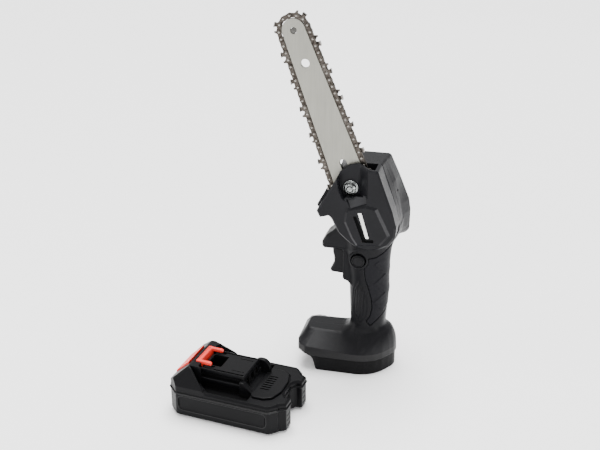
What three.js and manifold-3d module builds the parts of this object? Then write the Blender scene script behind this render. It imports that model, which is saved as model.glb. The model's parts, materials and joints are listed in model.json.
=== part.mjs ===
// Cordless pruning chainsaw: pistol-grip body, 6 inch guide bar with 1/4 inch chain,
// geared brushless drive, and its slide-on battery pack lying beside it.
// Millimetres, +Z up. -X is the trigger side (forward), +X the back of the hand,
// -Y the chain-cover side, +Y the motor side. Z = 0 is the surface both pieces stand on.
// Dimensions below are written about the middle of the foot's base; at the end everything
// is moved so that the origin is the middle of the whole set's footprint.
import * as THREE from 'three';
import { mergeVertices } from 'three/addons/utils/BufferGeometryUtils.js';
import { ConvexGeometry } from 'three/addons/geometries/ConvexGeometry.js';
import Module from 'manifold-3d';

const wasm = await Module();
wasm.setup();

// ---------------------------------------------------------------- driving dimensions
const GAP = 0.3;                       // clearance between touching pieces
const WALL = 2.6;                      // housing wall
const SPROCKET = { x: 21.2, z: 157 };  // drive axis, parallel to Y
const BAR_Y = -15;                     // middle plane of bar and chain
const BAR_TILT = -21.37 * Math.PI / 180; // bar leans forward from vertical
const BAR_T = 3.0;                     // bar thickness
const BAR_NOSE_S = 188.4;              // sprocket axis to nose centre
const BAR_NOSE_R = 10.8;
const BAR_TAIL_S = 20;
const BAR_HALF = 15.35;                // half width at the tail
const STUD_S = 37.2;                   // bar stud along the bar axis
const CHAIN_IN = 12.7;                 // strap radius on the drive sprocket
const CHAIN_H = 5.6;                   // strap and cutter height
const CHAIN_W = 4.4;
const GEAR_MODULE = 0.8;
const PINION_TEETH = 9;
const GEAR_TEETH = 27;
const GEAR_CENTRES = 0.5 * GEAR_MODULE * (PINION_TEETH + GEAR_TEETH);
const MOTOR_ANGLE = -22 * Math.PI / 180;
const MOTOR = { x: SPROCKET.x + GEAR_CENTRES * Math.cos(MOTOR_ANGLE), z: SPROCKET.z + GEAR_CENTRES * Math.sin(MOTOR_ANGLE) };
const MOTOR_R = 15;
const SPROCKET_TEETH = 7;
const WALL_Y = -8;                     // housing wall behind the chain
const FAR_Y = 27.5;                    // motor side of the head
const COVER_Y = -30;                   // face of the chain cover
const PACK = { x: -135.65, y: -139.52, yaw: -7.64 * Math.PI / 180 };
const PACK_W = 74;                     // battery width
const PACK_DECK = 30;                  // battery deck height
const PACK_SPLIT = 25.2;               // height of the joint between its two cases
const BUTTON = { x: 15.8, z: 116.6, r: 6.4 };
const FOOTPRINT = { x: -38.1435, y: -59.3941 }; // middle of the footprint, seen from the foot's middle

// ---------------------------------------------------------------- helpers
const V = (x, y, z) => new THREE.Vector3(x, y, z);
function toSolid(geo) {
  let g = geo.index ? geo.toNonIndexed() : geo.clone();
  for (const a of Object.keys(g.attributes)) if (a !== 'position') g.deleteAttribute(a);
  g = mergeVertices(g, 1e-4);
  const P = g.attributes.position.array, I = g.index.array;
  let vol = 0;
  for (let i = 0; i < I.length; i += 3) {
    const [a, b, c] = [3 * I[i], 3 * I[i + 1], 3 * I[i + 2]];
    vol += P[a] * (P[b + 1] * P[c + 2] - P[b + 2] * P[c + 1]) - P[a + 1] * (P[b] * P[c + 2] - P[b + 2] * P[c]) + P[a + 2] * (P[b] * P[c + 1] - P[b + 1] * P[c]);
  }
  if (vol < 0) for (let i = 0; i < I.length; i += 3) [I[i + 1], I[i + 2]] = [I[i + 2], I[i + 1]];
  return new wasm.Manifold(new wasm.Mesh({
    numProp: 3,
    vertProperties: new Float32Array(g.attributes.position.array),
    triVerts: new Uint32Array(g.index.array),
  }));
}
function toGeometry(solid) {
  const m = solid.getMesh();
  const g = new THREE.BufferGeometry();
  g.setAttribute('position', new THREE.BufferAttribute(new Float32Array(m.vertProperties), 3));
  g.setIndex(new THREE.BufferAttribute(new Uint32Array(m.triVerts), 1));
  g.computeVertexNormals();
  return g;
}
const S = (geo) => toSolid(geo);
const join = (...s) => s.reduce((a, b) => a.add(b));
const cut = (a, ...s) => s.reduce((x, b) => x.subtract(b), a);
function box(x0, x1, y0, y1, z0, z1) {
  const g = new THREE.BoxGeometry(x1 - x0, y1 - y0, z1 - z0);
  g.translate((x0 + x1) / 2, (y0 + y1) / 2, (z0 + z1) / 2);
  return S(g);
}
function shape(points, holes = []) {
  const s = new THREE.Shape(points.map(p => new THREE.Vector2(p[0], p[1])));
  for (const h of holes) s.holes.push(new THREE.Path(h.map(p => new THREE.Vector2(p[0], p[1]))));
  return s;
}
// outline in X-Z, thickness along Y, optional chamfer on both faces
function slabY(points, y0, y1, chamfer = 0, holes = []) {
  const o = { depth: y1 - y0, bevelEnabled: false, curveSegments: 10 };
  if (chamfer > 0) Object.assign(o, { depth: y1 - y0 - 2 * chamfer, bevelEnabled: true, bevelThickness: chamfer, bevelSize: chamfer, bevelOffset: -chamfer, bevelSegments: 1 });
  const g = new THREE.ExtrudeGeometry(shape(points, holes), o);
  if (chamfer > 0) g.translate(0, 0, chamfer);
  g.rotateX(Math.PI / 2);
  g.translate(0, y1, 0);
  return S(g);
}
// outline in X-Y, thickness along Z
function slabZ(points, z0, z1, chamfer = 0, holes = []) {
  const o = { depth: z1 - z0, bevelEnabled: false, curveSegments: 10 };
  if (chamfer > 0) Object.assign(o, { depth: z1 - z0 - 2 * chamfer, bevelEnabled: true, bevelThickness: chamfer, bevelSize: chamfer, bevelOffset: -chamfer, bevelSegments: 1 });
  const g = new THREE.ExtrudeGeometry(shape(points, holes), o);
  g.translate(0, 0, z0 + chamfer);
  return S(g);
}
function cyl(p0, p1, r0, r1 = r0, seg = 24) {
  const a = V(...p0), b = V(...p1), d = b.clone().sub(a);
  const g = new THREE.CylinderGeometry(r1, r0, d.length(), seg);
  g.applyQuaternion(new THREE.Quaternion().setFromUnitVectors(V(0, 1, 0), d.clone().normalize()));
  const m = a.add(b).multiplyScalar(0.5);
  g.translate(m.x, m.y, m.z);
  return S(g);
}
const cylY = (x, z, r, y0, y1, seg = 24, r1 = r) => cyl([x, y0, z], [x, y1, z], r, r1, seg);
const hull = (pts) => S(new ConvexGeometry(pts.map(p => V(...p))));
function latheY(x, z, profile, seg = 32) {   // profile: [radius, y] closed on the axis
  const g = new THREE.LatheGeometry(profile.map(p => new THREE.Vector2(p[0], p[1])), seg);
  g.translate(x, 0, z);
  return S(g);
}
// closed body through matched rings of points
function loft(rings, flat) {
  const n = rings[0].length, pos = [], idx = [];
  for (const r of rings) for (const p of r) pos.push(p[0], p[1], p[2]);
  for (let k = 0; k < rings.length - 1; k++)
    for (let i = 0; i < n; i++) {
      const a = k * n + i, b = k * n + (i + 1) % n, c = a + n, d = b + n;
      idx.push(a, b, d, a, d, c);
    }
  const cap = (r, base, flip) => {
    const c2 = r.map(flat);
    const tris = THREE.ShapeUtils.triangulateShape(c2.map(p => new THREE.Vector2(p[0], p[1])), []);
    const area = THREE.ShapeUtils.area(c2.map(p => new THREE.Vector2(p[0], p[1])));
    for (const t of tris) {
      const q = (area > 0) !== flip ? [t[0], t[2], t[1]] : t;
      idx.push(base + q[0], base + q[1], base + q[2]);
    }
  };
  cap(rings[0], 0, false);
  cap(rings[rings.length - 1], (rings.length - 1) * n, true);
  const g = new THREE.BufferGeometry();
  g.setAttribute('position', new THREE.Float32BufferAttribute(pos, 3));
  g.setIndex(idx);
  return S(g);
}
// moves every edge of a closed outline inwards by d (outwards if negative)
function inset(points, d) {
  const n = points.length, out = [];
  const area = THREE.ShapeUtils.area(points.map(p => new THREE.Vector2(p[0], p[1])));
  const sgn = area > 0 ? 1 : -1;
  const dir = (a, b) => { const l = Math.hypot(b[0] - a[0], b[1] - a[1]); return [(b[0] - a[0]) / l, (b[1] - a[1]) / l]; };
  for (let i = 0; i < n; i++) {
    const a = points[(i + n - 1) % n], b = points[i], c = points[(i + 1) % n];
    const u = dir(a, b), w = dir(b, c);
    const nu = [-u[1] * sgn, u[0] * sgn], nw = [-w[1] * sgn, w[0] * sgn];
    const k = 1 + nu[0] * nw[0] + nu[1] * nw[1];
    out.push([b[0] + d * (nu[0] + nw[0]) / k, b[1] + d * (nu[1] + nw[1]) / k]);
  }
  return out;
}
const onY = (pts, y) => pts.map(p => [p[0], y, p[1]]);
const onZ = (pts, z) => pts.map(p => [p[0], p[1], z]);
const flatXZ = (p) => [p[0], p[2]];
const flatXY = (p) => [p[0], p[1]];
function arc(cx, cy, r, a0, a1, n) {
  const out = [];
  for (let i = 0; i <= n; i++) { const a = a0 + (a1 - a0) * i / n; out.push([cx + r * Math.cos(a), cy + r * Math.sin(a)]); }
  return out;
}
const D = Math.PI / 180;
// rounded-oval section in X-Y between x0 and x1 with half width hy
function oval(x0, x1, hy, n = 16, p = 2.5) {
  const out = [], cx = (x0 + x1) / 2, hx = (x1 - x0) / 2;
  for (let i = 0; i < n; i++) {
    const a = 2 * Math.PI * i / n, c = Math.cos(a), s = Math.sin(a);
    out.push([cx + hx * Math.sign(c) * Math.abs(c) ** (2 / p), hy * Math.sign(s) * Math.abs(s) ** (2 / p)]);
  }
  return out;
}
// helical compression spring along a direction, open wire, one closed body
function spring(p0, p1, radius, wire, turns) {
  class Helix extends THREE.Curve {
    getPoint(t) {
      const a = V(...p0), b = V(...p1), d = b.clone().sub(a), u = d.clone().normalize();
      const x = (Math.abs(u.z) < 0.9 ? V(0, 0, 1) : V(1, 0, 0)).cross(u).normalize(), y = u.clone().cross(x);
      const ang = 2 * Math.PI * turns * t;
      return a.add(d.multiplyScalar(t)).add(x.multiplyScalar(radius * Math.cos(ang))).add(y.multiplyScalar(radius * Math.sin(ang)));
    }
  }
  const g = new THREE.ExtrudeGeometry(shape(arc(0, 0, wire / 2, 0, 2 * Math.PI * 4 / 5, 4)), { steps: Math.round(turns * 8), bevelEnabled: false, extrudePath: new Helix() });
  return S(g);
}
function gearOutline(teeth, module, phase) {
  const out = [], rp = teeth * module / 2, ra = rp + module * 0.9, rf = rp - module * 1.15;
  for (let i = 0; i < teeth; i++) {
    const a = phase + 2 * Math.PI * i / teeth, q = Math.PI / teeth;
    out.push([rf * Math.cos(a - q * 0.62), rf * Math.sin(a - q * 0.62)]);
    out.push([ra * Math.cos(a - q * 0.2), ra * Math.sin(a - q * 0.2)]);
    out.push([ra * Math.cos(a + q * 0.2), ra * Math.sin(a + q * 0.2)]);
    out.push([rf * Math.cos(a + q * 0.62), rf * Math.sin(a + q * 0.62)]);
  }
  return out;
}
const moved = (pts, x, z) => pts.map(p => [p[0] + x, p[1] + z]);

const part = new THREE.Group();
const barGroup = new THREE.Group();
barGroup.position.set(SPROCKET.x, BAR_Y, SPROCKET.z);
barGroup.rotation.y = BAR_TILT;
part.add(barGroup);
const pack = new THREE.Group();
pack.position.set(PACK.x, PACK.y, 0);
pack.rotation.z = PACK.yaw;
part.add(pack);

const FINISH = {
  shell: [0x26272a, 0.62, 0.0], cover: [0x232427, 0.58, 0.0], rubber: [0x1c1c1f, 0.85, 0.0],
  steel: [0xb9bab6, 0.32, 1.0], zinc: [0xd6d8da, 0.25, 1.0], dark: [0x4a4540, 0.4, 1.0],
  alu: [0xa9abad, 0.45, 1.0], black: [0x141416, 0.5, 0.0], copper: [0xb87333, 0.35, 1.0],
  red: [0xd5342c, 0.4, 0.0], green: [0x1d5a36, 0.5, 0.0], cell: [0x2f6f8f, 0.5, 0.0], label: [0xe6e6e2, 0.5, 0.0],
};
function add(name, solid, finish, parent = part) {
  const [color, roughness, metalness] = FINISH[finish];
  const mesh = new THREE.Mesh(toGeometry(solid), new THREE.MeshStandardMaterial({ color, roughness, metalness }));
  mesh.name = name;
  parent.add(mesh);
  return mesh;
}

// ---------------------------------------------------------------- body outlines
// head outline, matched points, on the chain side, in the middle and on the motor side
const HEAD_NEAR = [[-27.5, 165.5], [-21, 161], [-11.5, 163], [-5.8, 155.5], [-1.8, 147.5], [5.1, 141], [16, 134], [36, 134], [47, 139], [51.6, 148], [52, 158], [48, 172.6], [41, 192.5], [34, 212], [-2.5, 212], [-16, 187]];
const HEAD_MID = [[-27.5, 165.5], [-21, 161], [-11.5, 163], [-5.8, 155.5], [-1.8, 147.5], [5.1, 141], [16, 134], [38, 133], [49, 136], [52.9, 143], [52.6, 156], [50.8, 167.7], [45, 192], [35.5, 212], [-2.5, 212], [-16, 187]];
const HEAD_FAR = [[-25, 165.5], [-19, 160], [-11, 160], [-6, 153], [-2, 145], [5, 138], [16, 132], [40, 129.5], [53.5, 131.6], [57.8, 136], [58.1, 157], [56.2, 168], [46.2, 192], [37, 212], [-2.5, 212], [-15, 187]];
const headOuter = loft([onY(HEAD_NEAR, WALL_Y), onY(HEAD_MID, 8), onY(HEAD_FAR, FAR_Y - 3), onY(inset(HEAD_FAR, 3), FAR_Y)], flatXZ);
const headInner = loft([onY(inset(HEAD_NEAR, WALL), WALL_Y + 3), onY(inset(HEAD_MID, WALL), 8), onY(inset(HEAD_FAR, WALL), FAR_Y - 3.2), onY(inset(HEAD_FAR, WALL + 2.6), FAR_Y - WALL)], flatXZ);

// neck and handle, rings from foot to head: [z, x0, x1, half width]
const GRIP = [[30, 1, 47, 18], [36.5, 4.6, 43.6, 16.3], [44, 7.2, 41.2, 15.2], [82, 5.3, 43.4, 15.8], [98, 4.6, 42.8, 16.2], [114, 2.5, 43.3, 17], [128, 0.5, 44.8, 18.6], [144, 0.5, 51, 22]];
const grip = (d) => GRIP.map(([z, x0, x1, hy]) => onZ(oval(x0 + d, x1 - d, hy - d), z));
const handleOuter = loft(grip(0), flatXY);
const handleInner = loft(grip(WALL).concat([onZ(oval(3.1, 48.4, 22 - WALL), 150)]), flatXY);
// finger guard above the trigger and the collar round the trigger
const HORN = [[-21.3, 129], [-21.2, 122.6], [-19, 120.2], [12, 120.2], [12, 150], [-3, 150], [-11.9, 141], [-17.4, 136.4]];
const horn = slabY(HORN, -13, 13, 1.6);
const collar = slabY([[-0.8, 93], [0.8, 91], [4, 90], [7, 87], [14, 86], [14, 121], [-0.8, 121]], -11.5, 11.5, 1.5);

// foot: plan outline at the wide band, mirrored about Y = 0
const HALF_PLAN = [[53.2, 0], [52.2, -6.5], [48.4, -13.5], [42.8, -21.8], [35.6, -28.8], [27.5, -32.4], [19, -34], [-32, -34], [-40, -28.5], [-42.6, -19]];
const FOOT = HALF_PLAN.concat(HALF_PLAN.slice(1).reverse().map(p => [p[0], -p[1]]));
const BASE_HALF = [[50.6, 0], [49.6, -6], [46, -12], [41, -20.8], [34, -27.6], [27, -31.4], [19, -33], [-21, -33], [-23, -31]];
const BASE = BASE_HALF.concat(BASE_HALF.slice(1).reverse().map(p => [p[0], -p[1]]));
const DECK_HALF = [[43.5, 0], [41.5, -9], [35.5, -14.5], [24, -16], [4, -15], [-33.5, -12], [-35.5, -9]];
const DECK = DECK_HALF.concat(DECK_HALF.slice(1).reverse().map(p => [p[0], -p[1]]));
const footOuter = join(
  hull([...onZ(BASE, 0), ...onZ(FOOT, 18)]),
  hull([...onZ(FOOT, 17.5), ...onZ(inset(FOOT, 0.4), 25.6), ...DECK.map(p => [p[0], p[1], 36 + 4.6 * Math.max(0, p[0]) / 40]),
    ...[[50, 0, 34.4], [48.4, 7, 33.8], [44.2, 14, 32.6], [37.5, 21, 31], [48.4, -7, 33.8], [44.2, -14, 32.6], [37.5, -21, 31]]]));
const footInner = join(
  slabZ(inset(FOOT, 3.2).map(p => p[0] < -20 ? [p[0] - 30, p[1] < 0 ? -30.6 : 30.6] : p), -2, 22.5),
  hull([...onZ(inset(FOOT, 4), 22), ...DECK.map(p => [p[0] * 0.86, p[1] * 0.8, 32.5])]));
const footLip = cut(hull([...onZ(FOOT, 17.5), ...onZ(inset(FOOT, 0.4), 25.6)]), box(-34, 80, -60, 60, 0, 40));
// rails that the battery slides on
const railNear = box(-18, 38, -32, -14, 3.7, 7.0);
const railFar = box(-18, 38, 14, 32, 3.7, 7.0);

// side outline of the chain cover
const COVER = [[-22.9, 168.8], [-19.8, 162.3], [-15.5, 163.4], [-11.3, 164.9], [-8.2, 161.4], [-5.8, 156.4], [-1.8, 148.7], [5.1, 142.3], [14, 135.8], [24, 133.2], [36, 134.6], [45.8, 139.6], [51.2, 148], [52.2, 157.6], [48, 173], [40.6, 192.5], [33.6, 212.3], [22.8, 213.7], [13.6, 215.3], [5, 212.8], [-1.8, 207.2], [-10, 191.8]];

// ---------------------------------------------------------------- housing halves
const SCREWS = [[-13.5, 176], [3, 203.5], [29, 205.5], [44, 181], [4.2, 149.5], [24.5, 60], [-24, 27.5]];
let outer = join(headOuter, handleOuter, horn, collar, footOuter);
const bosses = SCREWS.map(([x, z]) => cylY(x, z, 4.4, -40, 40, 8)).reduce((a, b) => a.add(b)).intersect(outer);
const bearingBoss = cut(cylY(SPROCKET.x, SPROCKET.z, 10.8, WALL_Y + 2, -2.0, 20), cylY(SPROCKET.x, SPROCKET.z, 8.3, WALL_Y - 1, 5, 20));
let shell = cut(outer, headInner, handleInner, footInner);
shell = join(shell, bosses, bearingBoss, railNear.intersect(outer), railFar.intersect(outer), footLip.intersect(outer));
const barDir = [Math.sin(BAR_TILT), Math.cos(BAR_TILT)];
const barAt = (t, s) => [SPROCKET.x + t * barDir[1] + s * barDir[0], SPROCKET.z - t * barDir[0] + s * barDir[1]];
const stud = barAt(0, STUD_S);
shell = cut(shell, slabY(inset(COVER, -GAP), -60, WALL_Y),
  cylY(SPROCKET.x, SPROCKET.z, 8.3, WALL_Y - 1, -1, 20),
  cylY(stud[0], stud[1], 3.3, -20, 5, 18),
  box(-40, 9, -9.6, 9.6, 94.6, 119.6),                      // trigger opening
  box(-4, 14, -9.6, 9.6, 93.2, 120),
  cylY(BUTTON.x, BUTTON.z, BUTTON.r + 0.5, -40, 40, 20),     // lock button bore
  ...SCREWS.map(([x, z]) => cylY(x, z, 1.75, -7.3, 12, 8)),
  ...SCREWS.map(([x, z]) => cylY(x, z, 3.2, 6, 60, 8)));
// pad behind the bar, along the bar axis
const PAD_TS = [[-7.2, 26], [7.2, 26], [7.2, 55], [-7.2, 55]];
const PAD = PAD_TS.map(p => barAt(...p));
shell = shell.add(slabY(PAD, BAR_Y + BAR_T / 2 + 1.4 + GAP, WALL_Y + 0.5).subtract(cylY(stud[0], stud[1], 3.3, -20, 5, 18)));
// lug that the head of the tension screw bears on
const lug = slabY([[10.4, 47.4], [15.3, 47.4], [15.3, 50.8], [10.4, 50.8]].map(p => barAt(...p)), -12.4, WALL_Y + 0.5);
const lugA = barAt(13, 40), lugB = barAt(13, 60);
shell = shell.add(cut(lug, cyl([lugA[0], -10.25, lugA[1]], [lugB[0], -10.25, lugB[1]], 1.3, 1.3, 14)));
// raised collars round the button bore
const buttonRing = (y0, y1) => cut(cylY(BUTTON.x, BUTTON.z, BUTTON.r + 3, y0, y1, 20), cylY(BUTTON.x, BUTTON.z, BUTTON.r + 0.5, y0 - 1, y1 + 1, 20));
shell = join(shell, buttonRing(-18.6, -14), buttonRing(14, 18.6));
// cooling slots on the motor side and behind the motor
for (let i = 0; i < 5; i++) {
  const z = 140 + i * 6;
  shell = cut(shell, box(MOTOR.x - 13, MOTOR.x + 13, FAR_Y - 6, FAR_Y + 6, z, z + 2.4));
}
const rubberZone = (d) => {
  // side outline of the rubber: wide behind the hand, narrow waist at the front
  const R = [[70, 133], [46, 133], [38.8, 125.6], [32.2, 120.6], [27.5, 117.6], [25.6, 108.3], [23.2, 96], [26.5, 85.2], [29.2, 74.7], [30, 66], [28.3, 57], [24.5, 50.6], [28.6, 46.4], [36.2, 54.7], [43.7, 64.5], [70, 82]];
  return slabY(d ? inset(R, d) : R, -60, 60);
};
const gripSkin = loft(grip(-0.5), flatXY);
const gripBed = loft(grip(1.5), flatXY);
const gripLimit = loft(grip(1.5 - GAP), flatXY);
// the bed that the rubber lies in: the handle stands back by 1.5 mm there
shell = cut(shell, cut(loft(grip(-4), flatXY), gripBed).intersect(rubberZone(-GAP)));
const halfNear = box(-300, 300, -300, -0.15, -10, 500), halfFar = box(-300, 300, 0.15, 300, -10, 500);
add('housing_left', shell.intersect(halfNear), 'shell');
add('housing_right', shell.intersect(halfFar), 'shell');
const rubber = cut(gripSkin, gripLimit).intersect(rubberZone(0)).subtract(cylY(BUTTON.x, BUTTON.z, BUTTON.r + 3.4, -60, 60, 16));
add('grip_left', rubber.intersect(box(-300, 300, -300, -0.15, -10, 500)), 'rubber');
add('grip_right', rubber.intersect(box(-300, 300, 0.15, 300, -10, 500)), 'rubber');
SCREWS.forEach(([x, z], i) => {
  add('housing_screw_' + (i + 1), latheY(x, z, [[0, -6.9], [1.4, -5.6], [1.4, 6.3], [2.8, 6.3], [2.8, 8.0], [2.2, 8.6], [0, 8.6]], 10), 'dark');
});

// ---------------------------------------------------------------- chain cover
const coverBody = slabY(COVER, COVER_Y, WALL_Y - GAP, 1.2);
const COVER_IN = [[-7, 172], [-4.2, 165.5], [-2.2, 157.6], [1.2, 150.6], [6.4, 144.5], [15.3, 138.0], [24, 135.7], [35, 137.2], [43.8, 141.6], [48.4, 149], [49.4, 157.4], [45.4, 172.2], [38, 191.6], [31.2, 209], [28.8, 240], [-40, 240], [-40, 172]];
const coverHollow = slabY(COVER_IN, COVER_Y + 2.4, 0);
const POCKET = [[-3.2, 240], [-3.4, 200.7], [-2.2, 191.5], [1.2, 184], [4.8, 180.4], [21.6, 182.4], [23.6, 186], [21.8, 193], [19.4, 201], [17, 240]];
const FLOOR_Y = BAR_Y - BAR_T / 2 - 2 * GAP - 0.6; // outer face of the outer bar plate
const pocketTub = slabY(inset(POCKET, -2), COVER_Y + 0.6, FLOOR_Y - GAP).intersect(slabY(COVER, COVER_Y, 0));
let cover = cut(coverBody, coverHollow).add(pocketTub);
cover = cut(cover, slabY(POCKET, -60, FLOOR_Y - GAP - 2.4));
const OCTAGON = [[6.9, 174.3], [23.5, 178.6], [34.7, 176.6], [47.2, 151], [38, 139.4], [15.3, 137.2], [10.3, 144.5], [3.4, 160], [4.2, 170.1]];
cover = cover.add(slabY(OCTAGON, COVER_Y - 1.4, COVER_Y + 1, 0.9));
cover = cut(cover,
  slabY([[12.2, 167.5], [15.2, 167.5], [24.6, 144.6], [31.8, 145.2], [31.8, 142.6], [21.6, 142.2]], COVER_Y - 4, COVER_Y + 0.9),
  slabY([[16.0, 171.6], [20.3, 172.0], [28.2, 146.0], [24.2, 145.8]], COVER_Y - 4, COVER_Y - 0.9),
  cylY(stud[0], stud[1], 3.4, -40, 0, 18));
add('chain_cover', cover, 'cover');
add('label_plate', slabY([[16.5, 171.2], [19.9, 171.5], [27.5, 146.5], [24.5, 146.3]], COVER_Y - 1.6, COVER_Y - 0.9 - GAP + 0.2), 'label');

// ---------------------------------------------------------------- bar, chain and tensioner (bar frame: x across, z along)
const barHalfW = (s) => s < 48 ? BAR_HALF : BAR_HALF + (BAR_NOSE_R + 0.1 - BAR_HALF) * (s - 48) / (184 - 48);
function barOutline(d) {   // d grows the outline
  const right = [[9 + d * 0.7, BAR_TAIL_S - d], [13.4 + d * 0.8, BAR_TAIL_S + 2.6 - d * 0.5], [BAR_HALF + d, 30], [BAR_HALF + d, 48], [barHalfW(116) + d, 116]];
  const nose = arc(0, BAR_NOSE_S, BAR_NOSE_R + d, -2 * D, 182 * D, 22);
  const left = right.slice().reverse().map(p => [-p[0], p[1]]);
  return right.concat(nose, left);
}
let bar = slabY(barOutline(0), -BAR_T / 2, BAR_T / 2, 0.25);
bar = cut(bar,
  cut(slabY(barOutline(2), -0.65, 0.65), slabY(barOutline(-4.6), -1, 1)),
  cylY(0, BAR_NOSE_S, 9.2, -0.65, 0.65, 28),
  cylY(0, BAR_NOSE_S, 3.0, -3, 3, 20),
  cylY(-0.5, 157.8, 4, -3, 3, 24),
  cylY(9.6, 34, 2.35, -3, 3, 16),
  slabY([...arc(0, 60.4, 3.3, 0, Math.PI, 8), ...arc(0, 28, 3.3, Math.PI, 2 * Math.PI, 8)], -3, 3));
add('guide_bar', bar, 'steel', barGroup);
const NOSE_T = 6;
const noseTeeth = [];
for (let i = 0; i < NOSE_T; i++) {
  const a = 2 * Math.PI * i / NOSE_T;
  for (const [r, q] of [[6.4, -0.42], [8.8, -0.16], [8.8, 0.16], [6.4, 0.42]]) noseTeeth.push([r * Math.cos(a + q), r * Math.sin(a + q)]);
}
add('nose_sprocket', cut(slabY(moved(noseTeeth, 0, BAR_NOSE_S), -0.4, 0.4), cylY(0, BAR_NOSE_S, 2.9, -2, 2, 20)), 'dark', barGroup);
add('nose_rivet', latheY(0, BAR_NOSE_S, [[0, -1.75], [1.5, -1.7], [2.5, -1.2], [2.5, 1.2], [1.5, 1.7], [0, 1.75]], 20), 'steel', barGroup);

function chainOutline(d) {
  const P = [BAR_HALF + GAP, 30], L = Math.hypot(...P), r = CHAIN_IN;
  const touch = Math.atan2(P[1], P[0]) - Math.acos(r / L);  // right-hand tangent point on the drive circle
  const pts = [];
  pts.push(...arc(0, 0, r + d, Math.PI - touch, 2 * Math.PI + touch, 18));
  pts.push([BAR_HALF + GAP + d, 30], [BAR_HALF + GAP + d, 48], [barHalfW(116) + GAP + d, 116]);
  pts.push(...arc(0, BAR_NOSE_S, BAR_NOSE_R + GAP + d, -2 * D, 182 * D, 20));
  pts.push([-barHalfW(116) - GAP - d, 116], [-BAR_HALF - GAP - d, 48], [-BAR_HALF - GAP - d, 30]);
  return pts;
}
let chain = cut(slabY(chainOutline(CHAIN_H), -CHAIN_W / 2, CHAIN_W / 2, 0.8), slabY(chainOutline(0), -5, 5));
const tangBand = cut(slabY(chainOutline(0.6), -0.35, 0.35), slabY(barOutline(-3.4), -1, 1)).intersect(box(-60, 60, -5, 5, 32, 180));
chain = chain.add(tangBand);
add('chain', chain, 'dark', barGroup);

// stud, plates and nut
add('bar_stud', join(
  cylY(0, STUD_S, 2.95, -27.2 - BAR_Y, -2.6 - BAR_Y, 18),
  slabY(moved(arc(0, 0, 5.6, 30 * D, 330 * D, 5), 0, STUD_S), -4.7 - BAR_Y, -1.6 - BAR_Y)), 'zinc', barGroup);
const plateHoles = [arc(0, STUD_S, 3.3, 0, 2 * Math.PI * 15 / 16, 15)];
add('bar_plate_inner', slabY([[-7, 27], [7, 27], [7, 54], [-7, 54]], BAR_T / 2 + GAP, BAR_T / 2 + GAP + 0.8, 0, plateHoles), 'zinc', barGroup);
add('bar_plate_outer', slabY([[-7, 27], [7, 27], [7, 54], [-7, 54]], -BAR_T / 2 - GAP - 0.6, -BAR_T / 2 - GAP, 0, plateHoles), 'zinc', barGroup);
const nutY = FLOOR_Y - GAP - 2.4 - GAP - BAR_Y;
const nutBody = join(
  latheY(0, STUD_S, [[0, nutY], [7.1, nutY], [7.1, nutY - 0.9], [5.6, nutY - 1.7], [0, nutY - 1.7]], 24),
  slabY(moved(arc(0, 0, 5.75, 30 * D, 330 * D, 5), 0, STUD_S), nutY - 6, nutY - 0.5, 0.4));
add('bar_nut', cut(nutBody, cylY(0, STUD_S, 3.3, -40, 40, 12)), 'zinc', barGroup);
// tension block carries a pin into the bar's hole; the screw along the bar pulls it
add('tension_block', join(
  cut(box(8.2, 15.8, 3.2, 6.3, 30.2, 38), cyl([13, 4.75, 20], [13, 4.75, 60], 1.15, 1.15, 12)),
  cylY(9.6, 34, 1.95, -1.2, 3.4, 14)), 'steel', barGroup);
add('tension_screw', join(
  cyl([13, 4.75, 24], [13, 4.75, 51.4], 0.85, 0.85, 12),
  cyl([13, 4.75, 51.1], [13, 4.75, 54.2], 2.2, 2.2, 14)), 'zinc', barGroup);

// ---------------------------------------------------------------- drive train
add('bearing_front', cut(cylY(SPROCKET.x, SPROCKET.z, 8.0, -7.6, -2.6, 24), cylY(SPROCKET.x, SPROCKET.z, 4.3, -20, 20, 16)), 'steel');
add('bearing_rear', cut(cylY(SPROCKET.x, SPROCKET.z, 8.0, 4.3, 7.7, 24), cylY(SPROCKET.x, SPROCKET.z, 4.3, -20, 20, 16)), 'steel');
add('output_shaft', latheY(SPROCKET.x, SPROCKET.z, [[0, -19.6], [3.4, -19.6], [3.9, -19.2], [4.0, -18.6], [4.0, 7.4], [0, 7.4]], 16), 'steel');
const gearRim = slabY(moved(gearOutline(GEAR_TEETH, GEAR_MODULE, MOTOR_ANGLE + Math.PI / GEAR_TEETH), SPROCKET.x, SPROCKET.z), -1.6, 3.4);
add('drive_gear', cut(gearRim, cylY(SPROCKET.x, SPROCKET.z, 4.3, -20, 20, 16), ...[0, 1, 2, 3].map(i => cylY(SPROCKET.x + 6.9 * Math.cos(i * 90 * D), SPROCKET.z + 6.9 * Math.sin(i * 90 * D), 1.5, -5, 9, 8))), 'dark');
add('pinion', cut(slabY(moved(gearOutline(PINION_TEETH, GEAR_MODULE, MOTOR_ANGLE + Math.PI), MOTOR.x, MOTOR.z), -1.6, 3.2), cylY(MOTOR.x, MOTOR.z, 1.8, -20, 20, 16)), 'steel');
const spr = [];
for (let i = 0; i < SPROCKET_TEETH; i++) {
  const a = 2 * Math.PI * (i + 0.5) / SPROCKET_TEETH;
  for (const [r, q] of [[8.6, -0.4], [12.2, -0.17], [12.2, 0.17], [8.6, 0.4]]) spr.push([r * Math.cos(a + q), r * Math.sin(a + q)]);
}
add('sprocket', cut(join(slabY(moved(spr, SPROCKET.x, SPROCKET.z), BAR_Y - 1.6, BAR_Y + 1.6), cylY(SPROCKET.x, SPROCKET.z, 7, BAR_Y - 2.4, -8.9, 20)), cylY(SPROCKET.x, SPROCKET.z, 4.3, -40, 20, 16)), 'dark');
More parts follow.
